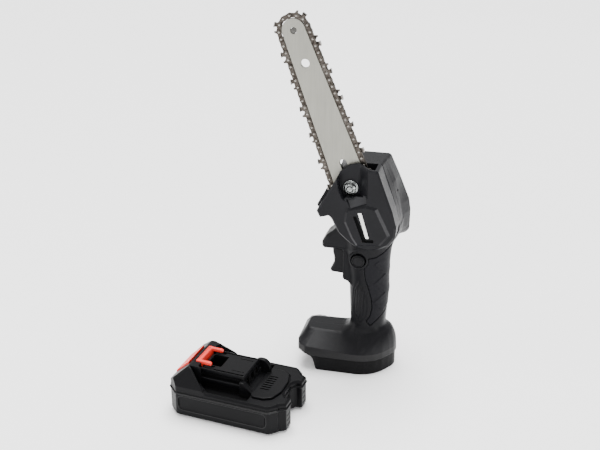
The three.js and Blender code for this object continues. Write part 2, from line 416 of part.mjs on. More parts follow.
const clipRing = cut(cylY(SPROCKET.x, SPROCKET.z, 6.6, -18.7, -17.8, 24), cylY(SPROCKET.x, SPROCKET.z, 4.3, -40, 20, 24), box(SPROCKET.x, SPROCKET.x + 12, -20, -16, SPROCKET.z - 2.4, SPROCKET.z + 2.4));
add('sprocket_clip', clipRing, 'zinc');
// gearbox plate between gear and motor
const GP = [];
for (const [cx, cz, r, a0, a1] of [[SPROCKET.x, SPROCKET.z, 12.5, 86, 250], [MOTOR.x, MOTOR.z, 14.6, -106, 72]]) GP.push(...arc(cx, cz, r, a0 * D, a1 * D, 10));
add('gearbox_plate', cut(slabY(GP, 4, 8), cylY(SPROCKET.x, SPROCKET.z, 8.3, 0, 20, 24), cylY(MOTOR.x, MOTOR.z, 5.4, 0, 20, 24),
  ...[90, 210, 330].map(a => cylY(MOTOR.x + 10.5 * Math.cos(a * D), MOTOR.z + 10.5 * Math.sin(a * D), 1.7, 0, 20, 12))), 'alu');
const MY0 = 8.3, MY1 = 24.3;
add('motor_can', cut(
  join(cylY(MOTOR.x, MOTOR.z, MOTOR_R, MY0, MY1 - 2.8, 28), cylY(MOTOR.x, MOTOR.z, 4.8, 4.2, MY0 + 1, 24)),
  cylY(MOTOR.x, MOTOR.z, MOTOR_R - 1.2, MY0 + 1.4, 40, 28), cylY(MOTOR.x, MOTOR.z, 2.0, 0, 40, 16),
  ...[90, 210, 330].map(a => cylY(MOTOR.x + 10.5 * Math.cos(a * D), MOTOR.z + 10.5 * Math.sin(a * D), 1.3, 0, MY0 + 3, 12))), 'dark');
const statorHole = [];
for (let i = 0; i < 9; i++) {
  const a = i * 40 * D;
  for (const [r, q] of [[8.6, -0.27], [8.6, 0.27], [11.4, 0.24], [11.4, 0.46]]) statorHole.push([r * Math.cos(a + q), r * Math.sin(a + q)]);
}
add('motor_stator', cut(cylY(MOTOR.x, MOTOR.z, MOTOR_R - 1.5, MY0 + 1.9, MY1 - 4, 28), slabY(moved(statorHole, MOTOR.x, MOTOR.z), 0, 40)), 'copper');
add('motor_rotor', latheY(MOTOR.x, MOTOR.z, [[0, -2.0], [1.5, -2.0], [1.5, 10.6], [7.9, 10.6], [7.9, 20.2], [1.5, 20.2], [1.5, 23.6], [0, 23.6]], 28), 'steel');
add('motor_end_cap', cut(cylY(MOTOR.x, MOTOR.z, MOTOR_R, MY1 - 2.5, MY1, 28), cylY(MOTOR.x, MOTOR.z, 1.9, 0, 40, 16),
  ...[30, 150, 270].map(a => cylY(MOTOR.x + 8.6 * Math.cos(a * D), MOTOR.z + 8.6 * Math.sin(a * D), 2.2, 0, 40, 10))), 'alu');

// ---------------------------------------------------------------- trigger, switch and lock button
const TRIG = [[6.6, 119.0], [-11.1, 119.0], [-10.0, 115], [-9.6, 108.5], [-11.2, 104], [-13.3, 100.4], [-13.0, 98.4], [-11.4, 97.2], [6.6, 96.0]];
add('trigger', join(cut(slabY(TRIG, -9, 9, 1.4), box(-1, 9, -6.5, 6.5, 98.6, 116.6), box(3.6, 9, -12, 12, 109.6, 122)), box(-1.5, 3.6, -1, 1, 98, 117), box(3.5, 6.4, -1, 1, 98, 109)), 'black');
add('trigger_spring', spring([7.0, 0, 101.5], [13.2, 0, 101.5], 2.2, 0.8, 4), 'steel');
add('switch_module', join(box(13.6, 33, -8.6, 8.6, 92, 106), box(14.4, 20, -2, 2, 105.5, 108.6)), 'black');
const lockShaft = join(
  cylY(BUTTON.x, BUTTON.z, BUTTON.r, -20.6, -13.8, 20),
  cylY(BUTTON.x, BUTTON.z, 3.0, -14.2, 14.2, 12),
  cylY(BUTTON.x, BUTTON.z, BUTTON.r, 13.8, 17.6, 20));
add('lock_button', lockShaft, 'black');
add('lock_spring', spring([BUTTON.x, -13.4, BUTTON.z], [BUTTON.x, -3, BUTTON.z], 4.2, 0.8, 4), 'steel');
add('lock_bracket', cut(join(box(BUTTON.x - 6, BUTTON.x + 6, -2.4, 2.4, BUTTON.z - 6, BUTTON.z + 6)), cylY(BUTTON.x, BUTTON.z, 3.4, -20, 20, 20)), 'black');
add('controller_board', box(33.6, 35.4, -10, 10, 66, 104), 'green');
// contacts in the foot
add('terminal_block', cut(box(24.5, 37, -13, 13, 9.2, 21.6), box(24, 30, -9, 9, 15, 19)), 'black');
add('terminal_plus', box(2.5, 24.2, -9.2, -8.4, 10.4, 14.6), 'copper');
add('terminal_minus', box(2.5, 24.2, 8.4, 9.2, 10.4, 14.6), 'copper');

// ---------------------------------------------------------------- battery pack (pack frame: x = u docking direction, y = v across, z = w up)
const hv = PACK_W / 2;
const PLAN_HALF = [[0, -hv + 9.5], [9.5, -hv], [99.8, -hv], [107, -hv + 7], [107, -hv + 8.6], [113, -hv + 12], [113, -hv + 24], [107.5, -hv + 24], [104, -hv + 30]];
const PLAN = PLAN_HALF.concat(PLAN_HALF.slice().reverse().map(p => [p[0], -p[1]])).map(p => [p[0], p[1] + hv]);
const PACK_IN = [[2.4, 10.5], [10.5, 2.4], [98.9, 2.4], [101.7, 5.2], [101.7, PACK_W - 5.2], [98.9, PACK_W - 2.4], [10.5, PACK_W - 2.4], [2.4, PACK_W - 10.5]];
const lowerOut = slabZ(PLAN, 0, PACK_SPLIT, 1.2);
const lower = cut(lowerOut, slabZ(PACK_IN, 2.4, 40));
const upperSlab = slabZ(PLAN, PACK_SPLIT + GAP, PACK_DECK, 1.0);
// front hump: ramp up, flat top, ramp down to the deck
const humpSolid = hull([[0.6, 10, 29], [0.6, PACK_W - 10, 29], [0.6, 12, 32.5], [0.6, PACK_W - 12, 32.5], [16, 11, 46], [20.5, 11, 46], [16, PACK_W - 11, 46], [20.5, PACK_W - 11, 46], [34.5, 0.6, 29.5], [34.5, PACK_W - 0.6, 29.5], [9, 0.6, 29.5], [9, PACK_W - 0.6, 29.5], [8, 1.2, 33], [8, PACK_W - 1.2, 33]]);
const block = join(box(20, 68, 20, PACK_W - 20, 29, 42.5),
  // shoulders that lead the rails in, beside the contact end
  hull([...[15.8, 20.6].flatMap(v => [[64.5, v, 24], [64.5, v, 38], [68, v, 38], [78, v, 29], [78, v, 24]])]),
  hull([...[53.4, 58.2].flatMap(v => [[63.5, v, 24], [63.5, v, 39], [67, v, 42.3], [72, v, 42.3], [77, v, 39.6], [79, v, 34], [79, v, 24]])]));
let upper = join(upperSlab, humpSolid, block);
upper = cut(upper,
  slabZ(PACK_IN, 10, 27.6),
  hull([[4, 16, 26], [4, PACK_W - 16, 26], [4, 16, 31], [4, PACK_W - 16, 31], [17, 16, 43.4], [18.5, 16, 43.4], [17, PACK_W - 16, 43.4], [18.5, PACK_W - 16, 43.4], [26, 16, 26], [26, PACK_W - 16, 26]]),
  box(22, 57, 26.5, PACK_W - 26.5, 26, 40),
  box(24, 66, 16, 24, 33, 37.6), box(24, 66, PACK_W - 24, PACK_W - 16, 33, 37.6),          // rail grooves
  box(58.5, 72, 25, 29, 31.2, 38), box(58.5, 72, 34, 40, 31.2, 38), box(58.5, 72, 45, 49, 31.2, 38), // contact slots
  // openings for the latch: button on the ramp, hook on the top
  hull([[-3, 20.5, 31], [-3, 53.5, 31], [0, 20.5, 24], [0, 53.5, 24], [13.6, 20.5, 52], [13.6, 53.5, 52], [13.6, 20.5, 40], [13.6, 53.5, 40], [3.5, 20.5, 30], [3.5, 53.5, 30]]),
  box(18.4, 25, 22.4, 51.6, 38, 60), box(18.4, 23.6, 22.4, 51.6, 34.6, 60), box(11, 19, 29, 45, 38.2, 43), box(22, 36, 22.4, 27, 41, 60), box(22, 36, 47, 51.6, 41, 60),
  box(27, 41, 28, 46, 39, 60));                                                                  // catch recess
// channels beside the block that the skirt of the saw's foot runs in
for (const f of [p => p, p => [p[0], PACK_W - p[1]]]) {
  upper = upper.add(slabZ([[36, 2.8], [78.6, 2.8], [78.6, 21.4], [20.5, 21.4], [26, 11]].map(f), 22.2, 29));
  upper = cut(upper, slabZ([[38, 4.4], [77, 4.4], [77, 15.8], [64.5, 15.8], [64.5, 20], [24, 20], [29, 11.6]].map(f), 23.8, 60));
}
for (let i = 0; i < 7; i++) upper = cut(upper, box(80.6, 90, 26.2 + i * 3.65, 27.8 + i * 3.65, 26, 34));
add('battery_lower_case', lower, 'shell', pack);
add('battery_upper_case', upper, 'shell', pack);
// latch: ramp button and top hook, one moulding
const latch = join(
  hull([[0.2, 21, 33.6], [0.2, 53, 33.6], [2.0, 21, 31.6], [2.0, 53, 31.6], [12.2, 21, 44.8], [12.2, 53, 44.8], [13.2, 21, 43.4], [13.2, 53, 43.4], [13.2, 21, 41], [13.2, 53, 41]]),
  box(11.5, 20.5, 30, 44, 38.8, 42.4),
  box(18.8, 23.2, 23, 51, 38.6, 47.2),
  box(20, 33.5, 23, 26.4, 44.2, 47.2), box(20, 33.5, 47.6, 51, 44.2, 47.2));
add('battery_latch', latch, 'red', pack);
add('latch_spring', spring([9.4, hv, 25.2], [9.4, hv, 34.9], 2.4, 0.8, 4), 'steel', pack);
for (let i = 0; i < 5; i++) {
  const u = 17.8 + i * 18.4;
  add('battery_cell_' + (i + 1), cyl([u, 4.6, 12.2], [u, PACK_W - 4.6, 12.2], 9.1, 9.1, 20), 'cell', pack);
}
add('battery_board', box(6.5, 92, 21.8, 52.2, 22.6, 24.2), 'green', pack);
add('battery_contact_plus', box(59, 67.4, 26.4, 27.6, 31.6, 35.6), 'copper', pack);
add('battery_contact_minus', box(59, 67.4, 46.4, 47.6, 31.6, 35.6), 'copper', pack);

for (const child of part.children) {
  child.position.x -= FOOTPRINT.x;
  child.position.y -= FOOTPRINT.y;
}

export default part;
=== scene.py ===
# Cordless pruning chainsaw and its battery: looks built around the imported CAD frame.
# Shells are signed distance fields (rounded lofts, blends and engraved lines) meshed here;
# metal parts are bevelled meshes. Lengths in the tables are millimetres, the scene is metres.
import bpy
import bmesh
import json
import math
import numpy as np
from mathutils import Vector, Matrix


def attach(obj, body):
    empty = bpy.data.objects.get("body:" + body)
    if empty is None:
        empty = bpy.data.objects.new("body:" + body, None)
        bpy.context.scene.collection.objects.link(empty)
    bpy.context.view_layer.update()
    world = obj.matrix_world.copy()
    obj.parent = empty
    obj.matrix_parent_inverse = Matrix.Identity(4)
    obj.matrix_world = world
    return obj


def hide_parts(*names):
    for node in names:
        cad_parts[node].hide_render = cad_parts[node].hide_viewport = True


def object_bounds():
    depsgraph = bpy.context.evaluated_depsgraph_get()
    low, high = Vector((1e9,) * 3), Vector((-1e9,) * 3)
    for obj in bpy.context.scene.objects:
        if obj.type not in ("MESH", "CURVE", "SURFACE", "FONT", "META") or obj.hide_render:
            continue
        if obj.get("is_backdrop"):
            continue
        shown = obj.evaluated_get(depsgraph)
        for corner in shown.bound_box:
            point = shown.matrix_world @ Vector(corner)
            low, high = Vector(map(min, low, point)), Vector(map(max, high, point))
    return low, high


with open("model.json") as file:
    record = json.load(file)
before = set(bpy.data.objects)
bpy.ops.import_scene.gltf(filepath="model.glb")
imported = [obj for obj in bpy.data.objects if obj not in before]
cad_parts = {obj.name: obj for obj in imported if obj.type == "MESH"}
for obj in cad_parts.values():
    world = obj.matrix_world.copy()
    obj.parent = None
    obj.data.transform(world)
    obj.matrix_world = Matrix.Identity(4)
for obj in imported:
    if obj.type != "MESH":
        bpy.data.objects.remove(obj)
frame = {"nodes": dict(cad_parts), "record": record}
CAD_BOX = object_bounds()
F = np.float32
OX, OY = 38.1435, 59.3941            # saw's foot centre to the frame's origin
RAD = math.pi / 180
TILT = -21.37 * RAD
SPR = (21.2, 157.0)                  # drive axis (x, z)
BARY = -15.0
YAW = -7.64 * RAD
PACKO = (-135.65, -139.52)
NODES = frame["nodes"]


# ------------------------------------------------------------------ field toolkit
class Vol:
    def __init__(self, lo, hi, h):
        self.h = h
        self.lo = np.array(lo, float)
        n = [int(math.ceil((b - a) / h)) + 1 for a, b in zip(lo, hi)]
        self.X = (lo[0] + h * np.arange(n[0])).astype(F)[:, None, None]
        self.Y = (lo[1] + h * np.arange(n[1])).astype(F)[None, :, None]
        self.Z = (lo[2] + h * np.arange(n[2])).astype(F)[None, None, :]
        self.shape = tuple(n)


def smin(a, b, k):
    if k <= 0:
        return np.minimum(a, b)
    h = np.maximum(F(k) - np.abs(a - b), F(0)) / F(k)
    return np.minimum(a, b) - h * h * F(k * 0.25)


def smax(a, b, k):
    if k <= 0:
        return np.maximum(a, b)
    h = np.maximum(F(k) - np.abs(a - b), F(0)) / F(k)
    return np.maximum(a, b) + h * h * F(k * 0.25)


def cmax(a, b, c):
    """intersection with a flat chamfer of size c"""
    return np.maximum(np.maximum(a, b), (a + b + F(c)) * F(0.70711))


def fil(pts, r, n=5):
    """rounds the corners of a closed outline"""
    out = []
    N = len(pts)
    for i in range(N):
        rad = r[i] if isinstance(r, (list, tuple)) else r
        a, b, c = (np.array(pts[(i + j) % N], float) for j in (-1, 0, 1))
        u, v = a - b, c - b
        lu, lv = np.linalg.norm(u), np.linalg.norm(v)
        u, v = u / lu, v / lv
        ang = math.acos(max(-1, min(1, float(u @ v))))
        if rad <= 0 or ang > 176 * RAD:
            out.append(tuple(b))
            continue
        t = min(rad / math.tan(ang / 2), 0.46 * min(lu, lv))
        re = t * math.tan(ang / 2)
        m = (u + v) / np.linalg.norm(u + v)
        cen = b + m * re / math.sin(ang / 2)
        p0, p1 = b + u * t - cen, b + v * t - cen
        a0, a1 = math.atan2(p0[1], p0[0]), math.atan2(p1[1], p1[0])
        d = (a1 - a0 + math.pi) % (2 * math.pi) - math.pi
        for k in range(n + 1):
            q = a0 + d * k / n
            out.append((cen[0] + re * math.cos(q), cen[1] + re * math.sin(q)))
    return out


def poly(pts, A, B):
    """signed distance to a closed outline in two coordinates, negative inside"""
    P = np.asarray(pts, dtype=float)
    d = None
    ins = None
    for (x0, y0), (x1, y1) in zip(P, np.roll(P, -1, 0)):
        ex, ey = x1 - x0, y1 - y0
        L = ex * ex + ey * ey
        if L < 1e-12:
            continue
        wx, wy = A - F(x0), B - F(y0)
        t = np.clip((wx * F(ex) + wy * F(ey)) / F(L), F(0), F(1))
        q = (wx - t * F(ex)) ** 2 + (wy - t * F(ey)) ** 2
        c = ((B >= y0) != (B >= y1)) & (A < F(x0) + (B - F(y0)) * F(ex / (ey if abs(ey) > 1e-9 else 1e-9)))
        d = q if d is None else np.minimum(d, q)
        ins = c if ins is None else ins ^ c
    d = np.sqrt(d)
    return np.where(ins, -d, d).astype(F)


def line(pts, A, B, closed=False):
    """distance to an open polyline in two coordinates"""
    P = np.asarray(pts, dtype=float)
    d = None
    last = len(P) if closed else len(P) - 1
    for i in range(last):
        (x0, y0), (x1, y1) = P[i], P[(i + 1) % len(P)]
        ex, ey = x1 - x0, y1 - y0
        L = max(ex * ex + ey * ey, 1e-12)
        wx, wy = A - F(x0), B - F(y0)
        t = np.clip((wx * F(ex) + wy * F(ey)) / F(L), F(0), F(1))
        q = (wx - t * F(ex)) ** 2 + (wy - t * F(ey)) ** 2
        d = q if d is None else np.minimum(d, q)
    return np.sqrt(d)


def bx(V, x0, x1, y0, y1, z0, z1, r=0.0):
    qx = np.abs(V.X - F((x0 + x1) / 2)) - F((x1 - x0) / 2)
    qy = np.abs(V.Y - F((y0 + y1) / 2)) - F((y1 - y0) / 2)
    qz = np.abs(V.Z - F((z0 + z1) / 2)) - F((z1 - z0) / 2)
    if r > 0:
        return smax(smax(qx, qy, r), qz, r)
    return np.maximum(np.maximum(qx, qy), qz)


def cylY(V, x, z, r, y0, y1, k=0.0):
    d = np.sqrt((V.X - F(x)) ** 2 + (V.Z - F(z)) ** 2) - F(r)
    e = np.abs(V.Y - F((y0 + y1) / 2)) - F((y1 - y0) / 2)
    return smax(d, e, k)


def lerp(t, stations):
    """blends fields along a coordinate t, stations = [(t, field)]"""
    out = None
    for (t0, a), (t1, b) in zip(stations, stations[1:]):
        w = np.clip((t - F(t0)) / F(t1 - t0), F(0), F(1))
        out = a * (1 - w) + b * w if out is None else np.where(t > t0, a * (1 - w) + b * w, out)
    return out


def smooth1(z, zs, vs, s=2.5):
    """a smoothed broken line through (zs, vs) at the values z"""
    q = np.linspace(-3 * s, 3 * s, 25)
    w = np.exp(-0.5 * (q / s) ** 2)
    w /= w.sum()
    return sum(wi * np.interp(z + qi, zs, vs) for wi, qi in zip(w, q)).astype(F)


def nets(D, lo, h):
    """closed quad mesh of the surface D = 0"""
    S = D < 0
    nx, ny, nz = D.shape
    c = lambda a, b, e: S[a:nx - 1 + a, b:ny - 1 + b, e:nz - 1 + e]
    al = c(0, 0, 0).copy()
    an = c(0, 0, 0).copy()
    K = [(a, b, e) for a in (0, 1) for b in (0, 1) for e in (0, 1)]
    for k in K[1:]:
        al &= c(*k)
        an |= c(*k)
    I = np.nonzero(an & ~al)
    n = len(I[0])
    ids = np.full(al.shape, -1, np.int32)
    ids[I] = np.arange(n, dtype=np.int32)
    val = {k: D[I[0] + k[0], I[1] + k[1], I[2] + k[2]].astype(float) for k in K}
    P = np.zeros((n, 3))
    C = np.zeros(n)
    for k0 in K:
        for ax in range(3):
            if k0[ax]:
                continue
            k1 = list(k0)
            k1[ax] = 1
            v0, v1 = val[k0], val[tuple(k1)]
            m = (v0 < 0) != (v1 < 0)
            t = np.where(m, v0 / np.where(m, v0 - v1, 1), 0)
            for j in range(3):
                P[:, j] += np.where(m, k0[j] + (t if j == ax else 0), 0)
            C += m
    P = P / C[:, None] + np.stack(I, 1)
    P = P * h + lo
    quads = []
    for ax in range(3):
        a0 = [slice(1, -1)] * 3
        a1 = [slice(1, -1)] * 3
        a0[ax] = slice(0, -1)
        a1[ax] = slice(1, None)
        E = S[tuple(a0)] != S[tuple(a1)]
        g = list(np.nonzero(E))
        for j in range(3):
            if j != ax:
                g[j] = g[j] + 1
        u, v = (ax + 1) % 3, (ax + 2) % 3
        q = []
        for du, dv in ((1, 1), (0, 1), (0, 0), (1, 0)):
            t = list(g)
            t[u] = t[u] - du
            t[v] = t[v] - dv
            q.append(ids[tuple(t)])
        q = np.stack(q, 1)
        fl = ~S[tuple(g)]
        q[fl] = q[fl][:, ::-1]
        quads.append(q)
    return P, np.concatenate(quads)


def put(name, verts, faces, mats, body, rep=(), smooth=True, index=None, pack=False):
    """a mesh object from mm coordinates of the saw (or of the pack) to the scene"""
    v = np.asarray(verts, float).copy()
    if pack:
        v[:, 2] = np.interp(v[:, 2], [-5, 31, 46, 50], [-5, 31, 47.1, 51.2])
        v[:, 0] = np.interp(v[:, 0], [-10, 0, 30, 60, 113, 120], [-12.2, -2.2, 30, 60, 111.9, 118.8])
        c, s = math.cos(YAW), math.sin(YAW)
        x, y = v[:, 0].copy(), v[:, 1].copy()
        v[:, 0] = PACKO[0] + x * c - y * s
        v[:, 1] = PACKO[1] + x * s + y * c
    v += (OX, OY, 0)
    v /= 1000.0
    me = bpy.data.meshes.new(name)
    f = np.asarray(faces)
    me.vertices.add(len(v))
    me.vertices.foreach_set("co", v.astype(np.float32).ravel())
    me.loops.add(f.size)
    me.loops.foreach_set("vertex_index", f.astype(np.int32).ravel())
    me.polygons.add(len(f))
    me.polygons.foreach_set("loop_start", np.arange(len(f), dtype=np.int32) * f.shape[1])
    for m in (mats if isinstance(mats, (list, tuple)) else [mats]):
        me.materials.append(m)
    if index is not None:
        me.polygons.foreach_set("material_index", np.asarray(index, np.int32))
    me.polygons.foreach_set("use_smooth", np.full(len(f), smooth))
    me.update(calc_edges=True)
    me.validate()
    ob = bpy.data.objects.new(name, me)
    bpy.context.scene.collection.objects.link(ob)
    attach(ob, body)
    if rep:
        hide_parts(*rep)
    return ob


def skin(name, V, D, mats, body, rep=(), index=None, pack=False):
    P, Q = nets(np.ascontiguousarray(np.broadcast_to(D, V.shape)), V.lo, V.h)
    if index is not None:
        index = index(P[Q].mean(1))
    return put(name, P, Q, mats, body, rep, True, index, pack)


# ------------------------------------------------------------------ materials
def nodes_of(name):
    m = bpy.data.materials.new(name)
    m.use_nodes = True
    t = m.node_tree
    return m, t, t.nodes["Principled BSDF"], t.nodes.new("ShaderNodeTexCoord")


def noise(t, co, scale, detail=2.0, rough=0.5, stretch=None):
    n = t.nodes.new("ShaderNodeTexNoise")
    n.inputs["Scale"].default_value = scale
    n.inputs["Detail"].default_value = detail
    n.inputs["Roughness"].default_value = rough
    src = co.outputs["Object"]
    if stretch is not None:
        mp = t.nodes.new("ShaderNodeMapping")
        mp.inputs["Rotation"].default_value = stretch[1]
        mp.inputs["Scale"].default_value = stretch[0]
        t.links.new(src, mp.inputs["Vector"])
        src = mp.outputs["Vector"]
    t.links.new(src, n.inputs["Vector"])
    return n


def ramp(t, fac, stops):
    r = t.nodes.new("ShaderNodeValToRGB")
    while len(r.color_ramp.elements) < len(stops):
        r.color_ramp.elements.new(0.5)
    for e, (p, c) in zip(r.color_ramp.elements, stops):
        e.position = p
        e.color = (*c, 1) if len(c) == 3 else c
    t.links.new(fac, r.inputs["Fac"])
    return r


def moulded(name, col, rough=0.45, grain=5200.0, bump=0.12, vary=0.16, spec=0.5, edge=0.0):
    """moulded plastic: fine spark-eroded grain, faint colour and gloss variation"""
    m, t, b, co = nodes_of(name)
    big = noise(t, co, 38.0, 3.0)
    lo = tuple(c * (1 - vary) for c in col)
    hi = tuple(min(1, c * (1 + vary)) for c in col)
    r = ramp(t, big.outputs["Fac"], [(0.3, lo), (0.7, hi)])
    t.links.new(r.outputs["Color"], b.inputs["Base Color"])
    mid = noise(t, co, 420.0, 4.0)
    rr = t.nodes.new("ShaderNodeMapRange")
    rr.inputs["From Min"].default_value = 0.25
    rr.inputs["From Max"].default_value = 0.75
    rr.inputs["To Min"].default_value = max(0.05, rough - 0.06)
    rr.inputs["To Max"].default_value = min(1, rough + 0.07)
    t.links.new(mid.outputs["Fac"], rr.inputs["Value"])
    t.links.new(rr.outputs["Result"], b.inputs["Roughness"])
    fine = noise(t, co, grain, 2.0, 0.6)
    bp = t.nodes.new("ShaderNodeBump")
    bp.inputs["Strength"].default_value = bump
    bp.inputs["Distance"].default_value = 0.0002
    t.links.new(fine.outputs["Fac"], bp.inputs["Height"])
    t.links.new(bp.outputs["Normal"], b.inputs["Normal"])
    b.inputs["Specular IOR Level"].default_value = spec
    return m


def metal(name, col, rough=0.3, brush=None, scratch=0.1, vary=0.08, dirt=None):
    """metal with fine directional grinding marks, blotches and optional oily grime"""
    m, t, b, co = nodes_of(name)
    b.inputs["Metallic"].default_value = 1.0
    big = noise(t, co, 60.0, 4.0)
    stops = [(0.3, tuple(c * (1 - vary) for c in col)), (0.7, tuple(min(1, c * (1 + vary)) for c in col))]
    if dirt:
        d = noise(t, co, dirt[1], 5.0, 0.65)
        stops = [(0.34, dirt[0]), (0.56, col)]
        r = ramp(t, d.outputs["Fac"], stops)
    else:
        r = ramp(t, big.outputs["Fac"], stops)
    t.links.new(r.outputs["Color"], b.inputs["Base Color"])
    fine = noise(t, co, 900.0, 3.0, 0.6, brush)
    rr = t.nodes.new("ShaderNodeMapRange")
    rr.inputs["From Min"].default_value = 0.3
    rr.inputs["From Max"].default_value = 0.7
    rr.inputs["To Min"].default_value = max(0.05, rough - 0.07)
    rr.inputs["To Max"].default_value = rough + 0.1
    t.links.new(fine.outputs["Fac"], rr.inputs["Value"])
    t.links.new(rr.outputs["Result"], b.inputs["Roughness"])
    bp = t.nodes.new("ShaderNodeBump")
    bp.inputs["Strength"].default_value = scratch
    bp.inputs["Distance"].default_value = 0.0001
    t.links.new(fine.outputs["Fac"], bp.inputs["Height"])
    t.links.new(bp.outputs["Normal"], b.inputs["Normal"])
    return m


M_SHELL = moulded("shell_plastic", (0.0056, 0.0056, 0.0066), 0.38, 5200, 0.16, 0.16, 0.10)
M_COVER = moulded("cover_plastic", (0.0048, 0.0048, 0.0060), 0.38, 6500, 0.12, 0.16, 0.12)
M_RUBBER = moulded("grip_rubber", (0.0046, 0.0046, 0.0062), 0.58, 3600, 0.22, 0.12, 0.12)
M_BLACK = moulded("black_plastic", (0.0042, 0.0042, 0.005), 0.42, 6500, 0.1, 0.16, 0.12)
# near-black copy of the plastic: painted shade inside recesses, slots and channels
M_PAINTED_SHADE = moulded("recess_black", (0.002, 0.002, 0.0022), 0.75, 5200, 0.1, 0.16, 0.08)
M_PACK = moulded("pack_plastic", (0.0026, 0.0026, 0.0031), 0.38, 5200, 0.16, 0.16, 0.09)
M_PACK2 = moulded("pack_block_plastic", (0.014, 0.014, 0.0155), 0.38, 6000, 0.1)
M_RED = moulded("latch_red", (0.72, 0.036, 0.026), 0.38, 6500, 0.08, 0.05, 0.3)
# lighter copy of the cover plastic: painted highlight on the hand-side bevels and the ramp
M_BEVEL_HIGHLIGHT = moulded("cover_bevel_plastic", (0.0135, 0.0135, 0.0155), 0.36, 6500, 0.08, 0.12, 0.2)
# lit and shaded copies of the shell plastic: painted highlight on the foot's band, painted shade on its skirt
M_BAND_HIGHLIGHT = moulded("foot_band_plastic", (0.0098, 0.0096, 0.0102), 0.38, 5200, 0.12, 0.14, 0.16)
M_SKIRT_SHADE = moulded("foot_skirt_plastic", (0.0034, 0.0033, 0.0037), 0.46, 5200, 0.2, 0.16, 0.07)
# lighter copy of the pack plastic: painted highlight on the split ridge and the side recess walls
M_RIDGE_HIGHLIGHT = moulded("pack_ridge_plastic", (0.0092, 0.0092, 0.0096), 0.36, 5200, 0.08, 0.12, 0.2)
M_LABEL = moulded("label_white", (0.78, 0.78, 0.76), 0.5, 3000, 0.05, 0.02)
M_BOARD = moulded("circuit_board", (0.03, 0.14, 0.06), 0.4, 3000, 0.1)
M_CELL = moulded("cell_sleeve", (0.03, 0.2, 0.34), 0.35, 2500, 0.05)
BR = ((1.0, 1.0, 0.04), (0, -TILT, 0))
M_BAR = metal("bar_steel", (0.262, 0.258, 0.228), 0.46, BR, 0.10, 0.03)
M_STEEL = metal("machined_steel", (0.55, 0.55, 0.54), 0.3)
M_ZINC = metal("bright_zinc", (0.27, 0.28, 0.28), 0.14, None, 0.25, 0.1, ((0.06, 0.065, 0.06), 520.0))
M_CHAIN = metal("chain_steel", (0.075, 0.066, 0.058), 0.42, None, 0.22, 0.2, ((0.022, 0.018, 0.014), 420.0))
M_TOOTH = metal("cutter_chrome", (0.085, 0.076, 0.068), 0.34, None, 0.2, 0.2, ((0.03, 0.025, 0.02), 520.0))
M_COPPER = metal("copper", (0.7, 0.36, 0.18), 0.3)
M_ALU = metal("cast_alloy", (0.55, 0.56, 0.57), 0.45, None, 0.3)
M_CHROME = metal("tooth_top", (0.26, 0.245, 0.23), 0.25, None, 0.15, 0.1, ((0.06, 0.05, 0.045), 500.0))
M_RIVET = metal("rivet_steel", (0.27, 0.26, 0.24), 0.26, None, 0.1, 0.1, ((0.2, 0.18, 0.16), 500.0))
M_PLATE = metal("clamp_plate_steel", (0.13, 0.13, 0.13), 0.42)
M_NOSE = metal("nose_pin_steel", (0.085, 0.083, 0.078), 0.45)
M_WIRE = metal("spring_wire", (0.6, 0.6, 0.6), 0.25)

SLOT_MAT = {"shell": M_SHELL, "cover": M_COVER, "rubber": M_RUBBER, "bar_steel": M_BAR, "gear_steel": M_STEEL,
            "spring_steel": M_WIRE, "dark_steel": M_CHAIN, "zinc_steel": M_ZINC, "alu": M_ALU, "winding": M_COPPER,
            "black_plastic": M_BLACK, "board": M_BOARD, "cell": M_CELL, "red": M_RED, "label": M_LABEL}
for sp in frame["record"]["subparts"]:
    ob = NODES[sp["node"]]
    ob.data.materials.clear()
    ob.data.materials.append(SLOT_MAT[sp["material_slot"]])

# ------------------------------------------------------------------ outlines (x, z) of the saw
HEAD_NEAR = [(-27.5, 165.5), (-21, 161), (-11.5, 163), (-5.8, 155.5), (-1.8, 147.5), (5.1, 141), (16, 134), (36, 134), (47, 139), (51.6, 148), (52, 158), (48, 172.6), (41, 192.5), (34, 212), (-2.5, 212), (-16, 187)]
HEAD_MID = [(-27.5, 165.5), (-21, 161), (-11.5, 163), (-5.8, 155.5), (-1.8, 147.5), (5.1, 141), (16, 134), (38, 133), (49, 136), (52.9, 143), (52.6, 156), (50.8, 167.7), (45, 192), (35.5, 212), (-2.5, 212), (-16, 187)]
HEAD_FAR = [(-25, 165.5), (-19, 160), (-11, 160), (-6, 153), (-2, 145), (5, 138), (16, 132), (40, 129.5), (53.5, 131.6), (57.8, 136), (58.1, 157), (56.2, 168), (46.2, 192), (37, 212), (-2.5, 212), (-15, 187)]
HORN = [(-21.3, 130), (-21.2, 125.4), (-19, 123.2), (12, 123.2), (12, 150), (-3, 150), (-11.9, 141), (-17.4, 136.4)]
COVER = [(-22.9, 168.8), (-19.8, 162.3), (-15.5, 163.4), (-11.3, 164.9), (-8.2, 161.4), (-5.8, 156.4), (-1.8, 148.7), (5.1, 142.3), (14, 135.8), (24, 133.2), (36, 134.6), (45.8, 139.6), (51.2, 148), (52.2, 157.6), (48, 173), (40.6, 192.5), (33.6, 212.3), (22.8, 213.7), (13.6, 215.3), (5, 212.8), (-1.8, 207.2), (-10, 191.8)]
COVER_IN = [(-7, 172), (-4.2, 165.5), (-2.2, 157.6), (1.2, 150.6), (6.4, 144.5), (15.3, 138.0), (24, 135.7), (35, 137.2), (43.8, 141.6), (48.4, 149), (49.4, 157.4), (45.4, 172.2), (38, 191.6), (31.2, 209), (28.8, 240), (-40, 240), (-40, 172)]
POCKET = [(-3.2, 240), (-3.4, 200.7), (-2.2, 191.5), (1.2, 184), (4.8, 180.4), (21.6, 182.4), (23.6, 186), (21.8, 193), (19.4, 201), (17, 240)]
